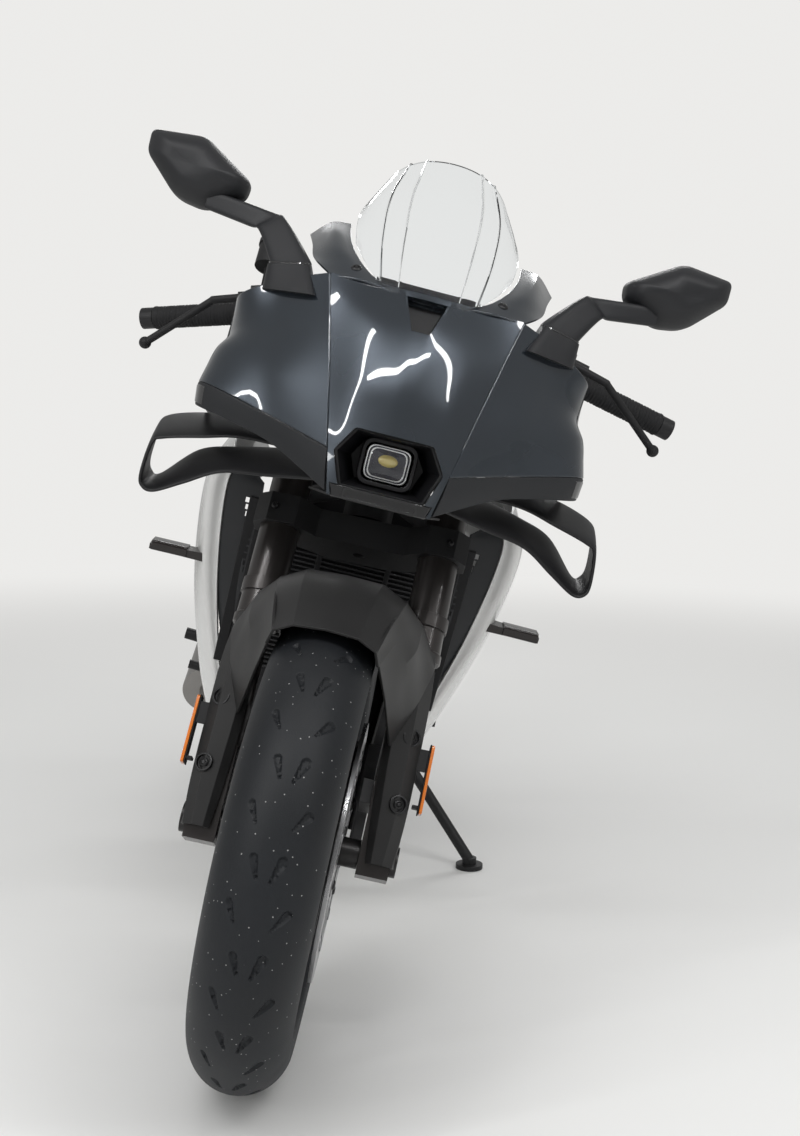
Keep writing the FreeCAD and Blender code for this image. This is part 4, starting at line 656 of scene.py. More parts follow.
class SPORTBIKE_OT_finishes(bpy.types.Operator):
    """Finishes of every slot, given to the pieces that keep their solids"""
    bl_idname = "sportbike.finishes"
    bl_label = "Finishes"

    def execute(self, context):
        GROUPS.update(grain=grain_group(), wear=wear_group(), dust=dust_group(), brushed=brushed_group())
        for slot, look in LOOKS.items():
            FINISHES[slot] = finish(slot, look, context.scene.sportbike_paints)
        for slot, (tint, rough, ior) in GLASSES.items():
            FINISHES[slot] = glass_finish(slot, tint, rough, ior)
        add_specks(FINISHES["tyre_rubber"])
        for part in frame["record"]["subparts"]:
            mesh = NODES[part["node"]].data
            mesh.materials.clear()
            mesh.materials.append(FINISHES[part["material_slot"]])
        return {"FINISHED"}


# Body panels: tables of the points that the eased surfaces pass through, in the bike's own frame

NOSE = [
    # height, then (forward, width) from the seam to the centre
    (729, [(58, 62), (64, 40), (70, 18), (72, 0)]),
    (781, [(50, 73), (62, 48), (72, 20), (76, 0)]),
    (826, [(36, 83), (54, 52), (66, 20), (70, 0)]),
    (871, [(20, 93), (42, 55), (56, 20), (60, 0)]),
    (934, [(-5, 108), (18, 58), (30, 20), (32, 0)]),
    (985, [(-28, 121), (-14, 62), (-2, 20), (0, 0)]),
]
SEAM_AT = {z: (line[0][0], line[0][1] + SEAM, z) for z, line in NOSE}
SHOULDER = [
    # inner edge along the screen, middle, outer edge
    [(-6, 46, 981), (-14, 84, 984), (-27, 119, 982)],
    [(-28, 74, 996), (-42, 106, 1002), (-56, 137, 994)],
    [(-64, 96, 1018), (-74, 124, 1022), (-92, 150, 1006)],
    [(-108, 109, 1042), (-114, 133, 1044), (-126, 156, 1024)],
    [(-158, 114, 1066), (-160, 140, 1062), (-164, 164, 1040)],
]
SCOOP = [((5, 25, 978), (26, 11, 935)), ((2, 29, 984), (28, 14, 929))]
SCOOP_FACING = np.array((0.907, 0, 0.422))
LAMP_EDGE = [(47, 812), (66, 781), (52, 742), (-52, 742), (-66, 781), (-47, 812)]
CHIN = [(62, 743), (57, 727), (-57, 727), (-62, 743)]
SIDE_COWL = [
    # rows from the top edge down, columns from the seam outwards and back
    [SEAM_AT[985], (-54, 172, 968), (-80, 223, 940), (-140, 232, 926), (-205, 234, 905)],
    [SEAM_AT[934], (-38, 166, 914), (-78, 218, 897), (-145, 236, 878), (-250, 238, 856)],
    [SEAM_AT[871], (-16, 162, 862), (-71, 233, 868), (-155, 241, 848), (-290, 240, 826)],
    [SEAM_AT[826], (-7, 156, 831), (-65, 239, 842), (-153, 243, 826), (-315, 241, 800)],
    [SEAM_AT[781], (0, 150, 800), (-58, 243, 820), (-150, 245, 806), (-330, 242, 776)],
]
TRIM_LOW = [(53, 65, 732), (-4, 147, 770), (-60, 241, 789), (-150, 241, 786), (-330, 238, 758)]
SCREEN = [
    # rows from the bottom edge up, from the centre outwards
    [(3, 0, 974), (-1, 31, 978), (-11, 60, 986), (-56, 84, 1010), (-104, 102, 1036)],
    [(-54, 0, 1045), (-60, 36, 1045), (-78, 70, 1047), (-106, 94, 1053), (-134, 107, 1062)],
    [(-132, 0, 1120), (-138, 38, 1118), (-154, 72, 1111), (-172, 95, 1102), (-188, 106, 1092)],
    [(-213, 0, 1184), (-217, 32, 1181), (-225, 58, 1171), (-234, 77, 1155), (-242, 89, 1135)],
]
WING = [
    # front edge's x, y, z, then the rear edge's
    (42, 72, 742, -52, 84, 770),
    (-14, 138, 728, -84, 130, 763),
    (-50, 195, 717, -110, 188, 750),
    (-63, 238, 692, -126, 234, 734),
    (-69, 272, 673, -131, 275, 692),
    (-71, 288, 675, -134, 290, 694),
    (-73, 293, 690, -139, 296, 712),
    (-79, 289, 730, -148, 293, 753),
    (-79, 276, 740, -150, 283, 768),
    (-65, 228, 753, -141, 243, 781),
    (-50, 176, 765, -130, 205, 786),
    (36, 86, 768, -100, 150, 800),
]
SIDE_FAIRING = [
    # rows from front to back, points from the top edge down
    [(-288, 186, 738), (-288, 202, 691), (-319, 190, 569), (-357, 162, 440), (-384, 132, 352)],
    [(-302, 205, 742), (-301, 231, 693), (-333, 218, 570), (-369, 178, 440), (-393, 150, 350)],
    [(-450, 216, 778), (-455, 245, 690), (-470, 234, 540), (-480, 196, 400), (-486, 160, 312)],
    [(-650, 200, 772), (-650, 235, 670), (-645, 226, 520), (-638, 190, 384), (-630, 156, 302)],
    [(-850, 166, 712), (-850, 200, 620), (-835, 198, 480), (-815, 178, 380), (-795, 152, 302)],
]
INNER_PANEL = [
    # outer column and inner column, from the top down
    [(-291, 188, 736), (-292, 206, 690), (-323, 193, 570), (-371, 145, 402)],
    [(-283, 152, 704), (-286, 150, 682), (-306, 146, 556), (-334, 138, 420)],
]
FAIRING_EDGE = [
    (-280, 800), (-700, 800), (-834, 700), (-744, 606, "via"), (-702, 500), (-708, 396, "via"), (-764, 290),
    (-360, 290), (-280, 640),
]
VENT = [(-424, 654), (-444, 678, "via"), (-472, 664), (-524, 500), (-512, 472, "via"), (-484, 484)]
BELLY = [
    # rows from front to back, half section from the left edge to the middle
    (-424, [(112, 318), (92, 262), (48, 222), (0, 210)]),
    (-560, [(146, 300), (122, 226), (62, 174), (0, 164)]),
    (-690, [(150, 296), (124, 218), (66, 168), (0, 158)]),
    (-806, [(140, 300), (112, 232), (60, 190), (0, 182)]),
]
TANK = [
    # x, floor half, widest half, its height, shoulder half, its height, top
    (-402, 58, 92, 866, 56, 922, 938),
    (-520, 88, 132, 886, 84, 972, 1000),
    (-640, 104, 148, 888, 92, 978, 1004),
    (-740, 88, 122, 868, 76, 930, 958),
    (-806, 68, 84, 848, 52, 884, 898),
]
TANK_FLOOR = 812


# how far the edges of the dark panels are rounded
PANEL_EDGE = {"bevel": 1.7, "segments": 4}
# the creases' places, as shares of the screen's half width, and their width as such a share
CREASES = (0.30, 0.50)
CREASE_WIDTH = 0.016
# the height that the tank's front end rounds off towards
TANK_FRONT_Z = 874.0


class PieceSizes(bpy.types.PropertyGroup):
    """Sizes of the forms that are finer than the solids"""
    crease: FloatProperty(
        name="Crease", description="Height of the screen's creases", default=0.0024, unit="LENGTH")
    swelling: FloatProperty(
        name="Swelling", description="How far the rider's seat swells at most", default=0.005, unit="LENGTH")
    tread: FloatProperty(
        name="Tread", description="Depth of the front tyre's pockets", default=0.003, unit="LENGTH")

def scoop_block(corners, out, back):
    """The scoop's four-sided block: its corners, moved out ahead of the nose and back behind it."""
    (tx, ty, tz), (bx, by, bz) = corners
    ring = np.array([(tx, ty, tz), (tx, -ty, tz), (bx, -by, bz), (bx, by, bz)], float)
    return tube([ring + SCOOP_FACING * out, ring - SCOOP_FACING * back])


class SPORTBIKE_OT_nose(bpy.types.Operator):
    """Nose cowl with the lamp's opening and the scoop, shoulders beside the screen, side cowls and trim"""
    bl_idname = "sportbike.nose"
    bl_label = "Nose"

    def execute(self, context):
        rows = [whole([(x, y, z) for x, y in line]) for z, line in NOSE]
        nose = shell(surface(rows, 9, 9), SKIN, (1, 0, 0))
        piece("nose_panel", [nose], CHASSIS, "panel_navy", ["nose_cowl"], **PANEL_EDGE, cutters=[
            ("UNION", scoop_block(SCOOP[1], -1, 21)),
            ("DIFFERENCE", scoop_block(SCOOP[0], 20, 18)),
            ("DIFFERENCE", plate_of(rounded_outline(LAMP_EDGE, 4), -60, 90, 0)),
            ("DIFFERENCE", plate_of(CHIN, -60, 90, 0)),
        ])
        shoulder = shell(surface(SHOULDER, 10, 10), SKIN, (0, -0.2, 1))
        piece("nose_shoulders", both([shoulder]), CHASSIS, "panel_navy", **PANEL_EDGE)
        # painted shade: a near-black plate on the scoop's floor darkens the inside of the scoop
        (tx, ty, tz), (bx, by, bz) = SCOOP[0]
        painted_shade_plate = scoop_block([(tx, ty * 0.86, tz - 3), (bx, by * 0.86, bz + 2)], -14.5, 17.9)
        piece("scoop_liner", [painted_shade_plate], CHASSIS, "recess_black", bevel=0.6)
        cowl = surface(SIDE_COWL, 10, 10)
        panel = shell(cowl, SKIN, (0.5, 1, 0))
        piece("cowl_panels", both([panel]), CHASSIS, "panel_navy", ["side_cowls"], **PANEL_EDGE)
        strip = straight([cowl[-1] - (0, 0, SEAM), ease(TRIM_LOW, 10)], 8)
        bulge = np.sin(np.linspace(0, np.pi, 9))[:, None, None] * 1.2
        trim = shell(strip + (0.3, 0.9, 0) * bulge, SKIN, (0.5, 1, 0))
        piece("cowl_strips", both([trim]), CHASSIS, "trim_dark", ["cowl_trim"], bevel=1.0, segments=3)
        lens = shell(surface(strip[1:8, 19:25], 3, 3) + (0.6, 1.2, 0), 3.0, (0.5, 1, 0))
        piece("strip_lenses", both([lens]), CHASSIS, "lens_black", bevel=1.2, segments=3)
        return {"FINISHED"}


class SPORTBIKE_OT_screen(bpy.types.Operator):
    """Clear windscreen with two creases down each side, each a bell-shaped ridge along the normals"""
    bl_idname = "sportbike.screen"
    bl_label = "Windscreen"

    def execute(self, context):
        grid = surface([whole(np.asarray(row)[::-1]) for row in SCREEN], 16, 20)
        n = normals_of(grid)
        n = n * np.sign(n[..., :1] + 1e-9)
        across = np.abs(np.linspace(-1, 1, grid.shape[1]))
        ridge = sum(np.exp(-((across - at) / CREASE_WIDTH) ** 2) for at in CREASES)
        height = context.scene.sportbike_sizes.crease / MM
        pane = shell(grid + n * (ridge * height)[None, :, None], 3.0, (1, 0, 0.6))
        piece("screen", [pane], CHASSIS, "screen_clear", ["windscreen"], bevel=1.0, segments=3)
        return {"FINISHED"}


class SPORTBIKE_OT_winglets(bpy.types.Operator):
    """Loop winglets: a strip with a rounded section that leaves the nose and comes back over itself"""
    bl_idname = "sportbike.winglets"
    bl_label = "Winglets"

    def execute(self, context):
        front = ease([row[:3] for row in WING], 8)
        rear = ease([row[3:] for row in WING], 8)
        chord = rear - front
        up = np.cross(chord, np.gradient((front + rear) / 2, axis=0))
        up /= np.linalg.norm(up, axis=1, keepdims=True)
        turn = turns(28)
        share = 0.5 - 0.5 * flattened(np.cos(turn), 0.45)
        rise = 3.0 * flattened(np.sin(turn), 0.6)
        camber = 3.0 * (1 - (2 * share - 1) ** 2)
        rings = (
            front[:, None] + chord[:, None] * share[None, :, None] + up[:, None] * rise[None, :, None]
        )
        rings = rings + np.array((0, 0, 1.0)) * camber[None, :, None]
        piece("wing_loops", both([tube(rings)]), CHASSIS, "wing_black", ["winglets"], smooth=50)
        return {"FINISHED"}


class SPORTBIKE_OT_fairings(bpy.types.Operator):
    """Side fairings with their vents and pegs, radiator, inner panels with their slots, and belly pan"""
    bl_idname = "sportbike.fairings"
    bl_label = "Fairings"

    def execute(self, context):
        side = shell(surface(SIDE_FAIRING, 12, 12), SKIN, (0, 1, 0))
        side_peg = spun([(0, 8), (137, 8)], 24, (-540, 98, 600), (0, 1, 0))
        for hand, parts, near, far in (
            ("left", (side, side_peg), 100, 300),
            ("right", (mirrored(side), mirrored(side_peg)), -300, -100),
        ):
            panel, peg = parts
            edge = plate_of(rounded_outline(with_arcs(FAIRING_EDGE), 3, 3), near, far, 1)
            vent = plate_of(with_arcs(VENT), near, far, 1)
            piece("fairing_" + hand, [panel], CHASSIS, "panel_white", ["side_fairing_" + hand], bevel=1.0,
                  segments=3, cutters=[("INTERSECT", edge), ("DIFFERENCE", vent), ("UNION", peg)])
        core = [block((-20, 14), (-150, 150), (-122, 122))]
        sides = [block((-22, 16), (150.2, 166), (-128, 128)), block((-60, -20.2), (118, 140), (96, 118))]
        core += both(sides)
        core += [block((14.2, 21), (y - 4, y + 4), (-122, 122)) for y in (-146, -50, 50, 146)]
        fins = [block((14.2, 20), (-145, 145), (z - 1.2, z + 1.2)) for z in np.linspace(-117, 117, 34)]
        tilt = (BIKE @ moved(-326, 0, 560) @ Matrix.Rotation(math.radians(12), 4, "Y"), "chassis")
        piece("radiator_core", core, tilt, "radiator_black", ["radiator"], bevel=1.5)
        piece("radiator_fins", fins, tilt, "fin_grey")
        cutters = []
        for z in range(572, 676, 10):
            # the slots get narrower downwards, as the panel does
            slot = block((-420, -200), (152, 174 - (684 - z) * 0.19), (z, z + 7.4))
            cutters += [("DIFFERENCE", slot), ("DIFFERENCE", mirrored(slot))]
        inner = shell(surface(INNER_PANEL, 10, 10), SKIN, (1, 0.3, 0))
        piece("inner_trim", both([inner]), CHASSIS, "trim_dark", ["inner_panels"], bevel=0.7, cutters=cutters)
        rows = [whole([(x, y, z) for y, z in line]) for x, line in BELLY]
        belly = shell(surface(rows, 12, 10), SKIN, (0, 0, -1))
        pegs = both([spun([(0, 8), (56, 8)], 24, (-660, 69, 172), (0, 0, 1))])
        piece("belly", [belly], CHASSIS, "panel_white", ["belly_pan"], bevel=1.0, segments=3,
              cutters=[("UNION", peg) for peg in pegs])
        return {"FINISHED"}


class SPORTBIKE_OT_tank(bpy.types.Operator):
    """Fuel tank with the well round its cap"""
    bl_idname = "sportbike.tank"
    bl_label = "Tank"

    def execute(self, context):
        rows = [whole([(x, low, TANK_FLOOR), (x, wide, wide_z), (x, shoulder, shoulder_z), (x, 0, top)])
                for x, low, wide, wide_z, shoulder, shoulder_z, top in TANK]
        grid = surface(rows, 12, 12)
        well = spun([(0, 46), (60, 46)], 64, (-590, 0, 992), (0, 0, 1))
        # the front end is rounded: its rings shrink towards the middle as a quarter circle does
        at = np.concatenate([(0, 0.03, 0.1, 0.22, 0.4, 0.65), np.arange(1, len(grid))])
        first = np.minimum(at.astype(int), len(grid) - 2)
        share = (at - first)[:, None, None]
        grid = grid[first] * (1 - share) + grid[first + 1] * share
        depth = np.clip((grid[0, 0, 0] - grid[:, :1, :1]) / 15, 0, 1)
        middle = [grid[:, :, 0].mean(1), np.zeros(len(grid)), np.full(len(grid), TANK_FRONT_Z)]
        centre = np.stack(middle, 1)[:, None]
        grid = centre + (grid - centre) * (0.82 + 0.18 * np.sqrt(1 - (1 - depth) ** 2))
        piece("tank", [tube(grid)], CHASSIS, "paint_navy", ["fuel_tank"], bevel=3.0, segments=4, bend=40,
              cutters=[("DIFFERENCE", well)])
        return {"FINISHED"}


# Mirrors, headlamp, mudguard and what turns with the bars

BOOT = [
    # front inner, front outer and back outer corners, from the cowl up
    [(-14, 132, 953), (-52, 200, 948), (-100, 197, 946)],
    [(-43, 149, 989), (-63, 201, 980), (-104, 198, 983)],
]
MIRROR_ARM = [
    # the same corners from the boot to the head
    [(-46, 151, 988), (-65, 199, 979), (-103, 196, 982)],
    [(-53, 153, 996), (-69, 202, 987), (-107, 199, 990)],
    [(-90, 193, 1041), (-94, 224, 1021), (-121, 224, 1022)],
    [(-104, 212, 1047), (-106, 238, 1024), (-128, 239, 1025)],
    [(-124, 298, 1058), (-124, 298, 1033), (-142, 298, 1034)],
]
MIRROR = [(249, 1080), (318, 1123), (389, 1117), (389, 1087), (341, 1040), (300, 1033), (252, 1058)]
MIRROR_MIDDLE = (328, 1080)
MIRROR_HEAD = [
    # forward from the back edge, width, height, and how far the ring moves inwards
    (-166, 0.975, 0.965, 0), (-164.5, 1, 1, 0), (-150, 1, 1, 0), (-143, 0.992, 0.985, 0),
    (-138, 0.965, 0.95, 0.6), (-130, 0.88, 0.84, 2.2), (-123, 0.78, 0.71, 4), (-118, 0.66, 0.56, 5.6),
    (-115.5, 0.5, 0.4, 6), (-114.8, 0.3, 0.2, 6),
]
MIRROR_POCKET = [(-180, 0.92, 0.9, 0), (-160, 0.92, 0.9, 0)]
MIRROR_GLASS = [(-163, 0.914, 0.894, 0), (-160.3, 0.914, 0.894, 0)]
GUARD = [
    # angle ahead of the legs, then from the crown outwards: half width, height over the tyre's crown
    (-66, [(0, 20), (38, 17), (62, 2), (68, -24)]),
    (-30, [(0, 30), (44, 27), (72, 12), (78, -18)]),
    (0, [(0, 36), (48, 34), (80, 20), (88, -12)]),
    (28, [(0, 34), (46, 32), (78, 14), (86, -14)]),
    (50, [(0, 18), (38, 15), (60, 2), (66, -18)]),
]
SHIELD = [
    # height along the leg, then the plan section as (forward, width)
    (-12, [(23, 133), (30, 130), (39, 118), (39, 104), (33, 97)]),
    (42, [(-2, 135), (26, 135), (42, 121), (42, 102), (32, 92)]),
    (130, [(-12, 136), (28, 136), (48, 121), (50, 98), (38, 88)]),
    (206, [(-14, 135), (30, 135), (54, 120), (56, 98), (46, 88)]),
    (266, [(-14, 131), (20, 130), (36, 119), (38, 104), (32, 96)]),
]
CHEEK = [
    # upper edge, middle and lower edge, from back to front
    [(-6, 82, 318), (-6, 112, 300), (-6, 132, 262)],
    [(78, 80, 308), (66, 106, 284), (36, 131, 236)],
    [(147, 78, 276), (116, 104, 238), (55, 120, 190)],
    [(199, 70, 238), (142, 90, 202), (54, 108, 158)],
    [(229, 61, 194), (134, 80, 166), (50, 97, 130)],
]
LAMP_Z = 778


def soft_limb(rows, steps, square, swell=0.0):
    """A limb with a rounded four-sided section: the middle plus half the two edges, each times a flattened
    cosine or sine of the turn, carried along the eased rows."""
    rows = straight(rows, steps) if steps < 3 else ease(rows, steps)
    a, b, c = rows[:, 0], rows[:, 1], rows[:, 2]
    middle, half_ab, half_bc = (a + c) / 2, (b - a) / 2, (c - b) / 2
    turn = turns(40, 0.5)
    cosine = flattened(np.cos(turn), 2.0 / square)[None, :, None] * (1.0 + swell)
    sine = flattened(np.sin(turn), 2.0 / square)[None, :, None] * (1.0 + swell)
    return middle[:, None] + half_ab[:, None] * cosine + half_bc[:, None] * sine


def mirror_rings(outline, steps):
    """The mirror's outline at each step, shrunk to its middle and set back as it runs outwards."""
    y, z = outline[:, 0], outline[:, 1]
    mid_y, mid_z = MIRROR_MIDDLE
    sweep = (y - 320) * 0.12
    return tube([
        np.stack([x - sweep, mid_y - inward + (y - mid_y) * wide, mid_z + (z - mid_z) * tall], 1)
        for x, wide, tall, inward in steps
    ])


class SPORTBIKE_OT_mirrors(bpy.types.Operator):
    """Mirrors: tapered boots, bent arms and heads whose fronts bulge round a crease"""
    bl_idname = "sportbike.mirrors"
    bl_label = "Mirrors"

    def execute(self, context):
        outline = rounded_outline(MIRROR, (9, 12, 9, 9, 16, 14, 9), 8)
        head = mirror_rings(outline, MIRROR_HEAD)
        pocket = mirror_rings(outline, MIRROR_POCKET)
        glass = mirror_rings(outline, MIRROR_GLASS)
        limbs = [tube(soft_limb(BOOT, 12, 5.5)), tube(soft_limb(MIRROR_ARM, 8, 4.5))]
        piece("mirror_faces", both([glass]), CHASSIS, "mirror_face", ["mirror_glass"], smooth=40)
        joint = np.array(BOOT[1], float)
        collar = tube(soft_limb([joint + (0, 0, 0.2), joint + (-1, 0.6, 2.4)], 2, 5.5, -0.05))
        piece("mirror_joints", both([collar]), CHASSIS, "lens_black", smooth=40)
        for hand in ("left", "right"):
            parts = [head, pocket] + limbs
            if hand == "right":
                parts = [mirrored(part) for part in parts]
            replaced = ["mirrors"] if hand == "left" else []
            piece("mirror_head_" + hand, parts[:1], CHASSIS, "mirror_shell", replaced, smooth=40,
                  cutters=[("DIFFERENCE", parts[1])])
            piece("mirror_arm_" + hand, parts[2:], CHASSIS, "mirror_shell", smooth=40)
        return {"FINISHED"}


class SPORTBIKE_OT_headlamp(bpy.types.Operator):
    """Headlamp: hexagonal recess, frame, chin bar with its raised pill, lens, rings, bowl and projector"""
    bl_idname = "sportbike.headlamp"
    bl_label = "Headlamp"

    def execute(self, context):
        middle = np.array((0, float(LAMP_Z)))
        edge = np.array(LAMP_EDGE, float) - middle
        mouth = tube([ahead(edge * share + middle, x) for share, x in ((0.985, 64), (0.68, 6))])
        recess = plate_of(edge * 0.99 + middle, -30, 54, 0)
        piece("lamp_recess", [recess], CHASSIS, "recess_black", ["headlamp_housing"], bevel=0.8,
              cutters=[("DIFFERENCE", mouth)])
        outer, inner = [rounded_box(half, LAMP_Z - rise, LAMP_Z + rise, radius, 8)
                        for half, rise, radius in ((34, 28, 15), (29.2, 23.2, 12))]
        steps = ((outer, 6), (outer, 34), (outer * (0.97, 1), 37), (inner, 37), (inner, 6))
        rim = closed_loop([ahead(line, x) for line, x in steps])
        piece("lamp_frame", [rim], CHASSIS, "recess_black", smooth=35, bevel=0.8)
        bar = plate_of(np.array(CHIN, float) * (0.99, 1), 20, 57, 0)
        piece("chin_bar", [bar], CHASSIS, "lens_black", bevel=1.6, segments=3)
        pill = rounded_box(45, 727.6, 742.4, 5.5, 8)
        hollow = rounded_box(42, 730.6, 739.4, 3.0, 8)
        steps = ((pill, 52), (pill, 62.4), (pill * (0.995, 1), 63.4), (hollow, 63.4), (hollow, 52))
        parts = [closed_loop([ahead(line, x) for line, x in steps]), plate_of(hollow, 50, 60, 0)]
        piece("chin_pill", parts, CHASSIS, "lens_black", smooth=35)
        tray = tube([[(x, -half, top), (x, half, top), (x, half, top - 3), (x, -half, top - 3)]
                     for x, half, top in ((46, 56, 730), (-84, 86, 726))])
        piece("chin_tray", [tray], CHASSIS, "control_black", bevel=0.8)
        spread = rounded_box(28.6, 755.4, 800.6, 13, 10) - middle

        def stack(*steps):
            """The lens's outline, shrunk to a share of its size at each distance forward."""
            return np.array([ahead(spread * share + middle, x) for share, x in steps])

        dome = stack((1, 20), (1, 24), (0.97, 27), (0.88, 30.4), (0.72, 32.8), (0.5, 34.6),
                     (0.25, 35.6), (0.05, 35.9))
        closed = np.concatenate([dome, dome[:, :1]], 1)
        lens = shell(closed, 1.2, (1, 0, 0))
        piece("lamp_lens", [lens], CHASSIS, "lens_clear", ["headlamp_lens"], smooth=60)
        bowl = stack((0.99, 20.5), (0.93, 20.5), (0.9, 14), (0.8, 12.5), (0.74, 8), (0.3, 7))
        piece("lamp_bowl", [tube(bowl)], CHASSIS, "bowl_dark", smooth=25)
        rings = []
        for share, x in ((0.93, 21.4), (0.8, 20.0), (0.66, 18.0)):
            inside = share - 0.06
            rings.append(closed_loop(stack((share, x), (share, x + 1.6), (inside, x + 1.6), (inside, x))))
        for z, half in ((765.5, 15), (769.5, 18), (761.5, 11)):
            rings.append(block((13, 17), (-half, half), (z - 0.7, z + 0.7)))
        rings += [block((12, 17), (y - 0.7, y + 0.7), (766, 790)) for y in (-21, 21)]
        piece("lamp_rings", rings, CHASSIS, "chrome_bright", smooth=35)
        turn = np.linspace(0, np.pi / 2, 10)
        oval = np.stack([12 + 12 * np.sin(turn), 17 * np.cos(turn) + 0.01], 1)
        centre = (0, 0, LAMP_Z + 4)
        points, faces = spun(oval, 40, centre, (1, 0, 0))
        points = (points - centre) * (1, 1, 0.6) + centre
        piece("lamp_ball", [(points, faces)], CHASSIS, "lamp_glow", smooth=60)
        return {"FINISHED"}


class SPORTBIKE_OT_mudguard(bpy.types.Operator):
    """Front mudguard: arch with crisp creases, cheeks, fork guards, reflectors with brackets, and collars"""
    bl_idname = "sportbike.mudguard"
    bl_label = "Front mudguard"

    def execute(self, context):
        rows = []
        for angle, line in GUARD:
            half = np.array(line, float)
            full = np.concatenate([half[:0:-1] * (-1, 1), half])
            turn = math.radians(angle)
            reach = FRONT_RADIUS + full[:, 1]
            rows.append(np.stack([reach * math.sin(turn), full[:, 0], reach * math.cos(turn)], 1))
        arch = shell(surface(rows, 12, 4, straight), 3.2, (0, 0, 1))
        cheek = shell(surface(CHEEK, 8, 4, straight), 3.2, (1, 1, 0.5))
        lines = [[(x, y, z) for x, y in line] for z, line in SHIELD]
        guard = shell(surface(lines, 10, 4, straight), 3.2, (1, 0.4, 0))
        stay = block((-8, 8), (130, 134), (226, 246))
        piece("mudguard", [arch] + both([cheek, guard, stay]), STEERING, "guard_grey", ["front_mudguard"],
              bevel=1.6, segments=3, bend=14)
        bracket = [block((10, 30), (146.5, 148.5), (60, 148)), block((26, 29), (129, 148), (112, 140)),
                   block((18, 29), (120, 131), (118, 134)), block((14, 29), (139, 148), (66, 70))]
        piece("reflector_brackets", both(bracket), STEERING, "control_black", bevel=0.9)
        outline = rounded_outline([(9, 60.5), (31, 60.5), (31, 147.5), (9, 147.5)], 3, 4)
        piece("reflector_plates", both([plate_of(outline, 148.6, 152.6, 1)]), STEERING, "reflector_amber",
              ["fork_reflectors"], bevel=0.8, segments=3)
        profile = [(0, 21.7), (0, 28.6), (2, 30), (12, 30), (14, 28), (48, 27.2), (48, 21.7)]
        collar = spun(profile, 48, (0, 108, 256), (0, 0, 1))
        piece("seal_collars", both([collar]), STEERING, "fork_dark", smooth=35)
        return {"FINISHED"}


# Tyres with their pockets, seats, chain, screws and small things

RIM_SEAT = 216.3
FLANGE_TOP = RIM_SEAT + 18
PITCHES = 18
OFF_CROWN = 1e3


def tyre_section(radius, width, rim_half, share, crown_steps):
    """A tyre's closed section as (width, radius): bead, wall and crown outside, and a plain inside; for each
    point its distance from the crown's middle along the crown; and the crown's own radius."""
    wall, bead, edge = 9.0, rim_half - 0.3, width / 2
    shoulder = FLANGE_TOP + share * (radius - FLANGE_TOP)
    rise = radius - shoulder
    bend = (edge ** 2 + rise ** 2) / (2 * rise)
    half_turn = math.atan2(edge, bend - rise)
    turn = np.linspace(half_turn, -half_turn, crown_steps)
    crown = np.stack([bend * np.sin(turn), radius - bend + bend * np.cos(turn)], 1)
    side = ease([(bead, FLANGE_TOP - 2), (edge - 4.5, FLANGE_TOP + 4), (edge, shoulder)], 6)[:-1]
    outer = np.concatenate([
        [(bead - wall, RIM_SEAT), (bead, RIM_SEAT)], side, crown, (side * (-1, 1))[::-1],
        [(-bead, RIM_SEAT), (-bead + wall, RIM_SEAT)],
    ])
    across = np.linspace(-1, 1, 9)
    inner = np.stack([across * (edge - wall), shoulder + (radius - wall - shoulder) * (1 - across ** 2)], 1)
    section = np.concatenate([outer, inner])
    along = np.full(len(section), OFF_CROWN)
    start = 2 + len(side)
    along[start:start + crown_steps] = bend * turn
    return section, along, bend


def pocketed_tyre(radius, width, rim_half, share, columns, crown_steps, pockets, depth):
    """A tyre's skin with tread pockets. Each pocket is a tapered capsule on the crown; grid points near its
    outline are moved onto it, and points inside are lowered, so its edge is crisp."""
    section, along, bend = tyre_section(radius, width, rim_half, share, crown_steps)
    pitch = 2 * math.pi * radius / PITCHES
    grid_s, grid_w = np.meshgrid(pitch * np.arange(columns) / columns, along, indexing="ij")
    move = np.zeros(grid_s.shape + (2,))
    sink = np.zeros(grid_s.shape)
    reach = 0.75 * pitch / columns
    for (s0, w0, r0), (s1, w1, r1), deep in pockets:
        run = np.array((s1 - s0, w1 - w0))
        for wrap in (-pitch, 0, pitch):
            rel = np.stack([grid_s + wrap - s0, grid_w - w0], -1)
            t = np.clip(rel @ run / (run @ run), 0, 1)
            gap = rel - t[..., None] * run
            far = np.linalg.norm(gap, axis=-1)
            distance = far - (r0 + (r1 - r0) * t)
            away = gap / np.maximum(far, 1e-6)[..., None]
            close = (np.abs(distance) < reach) & (far > 1e-3)
            move[close] = -(distance[..., None] * away)[close]
            sink = np.where(distance < -reach * 0.9, np.maximum(sink, deep * depth), sink)
    crown = along < OFF_CROWN
    move[:, ~crown] = 0
    count = PITCHES * columns
    angle = turns(count)[:, None] + np.tile(move[..., 0], (PITCHES, 1)) / radius
    shift, sunk = np.tile(move[..., 1], (PITCHES, 1)), np.tile(sink, (PITCHES, 1))
    turn = (np.where(crown, along, 0) / bend)[None] + shift / bend
    w = np.where(crown[None], (bend - sunk) * np.sin(turn), section[None, :, 0])
    r = np.where(crown[None], radius - bend + (bend - sunk) * np.cos(turn), section[None, :, 1])
    points = np.stack([r * np.sin(angle), w, r * np.cos(angle)], -1)
    return outwards(points.reshape(-1, 3), [grid_quads(count, len(section), True, True)])


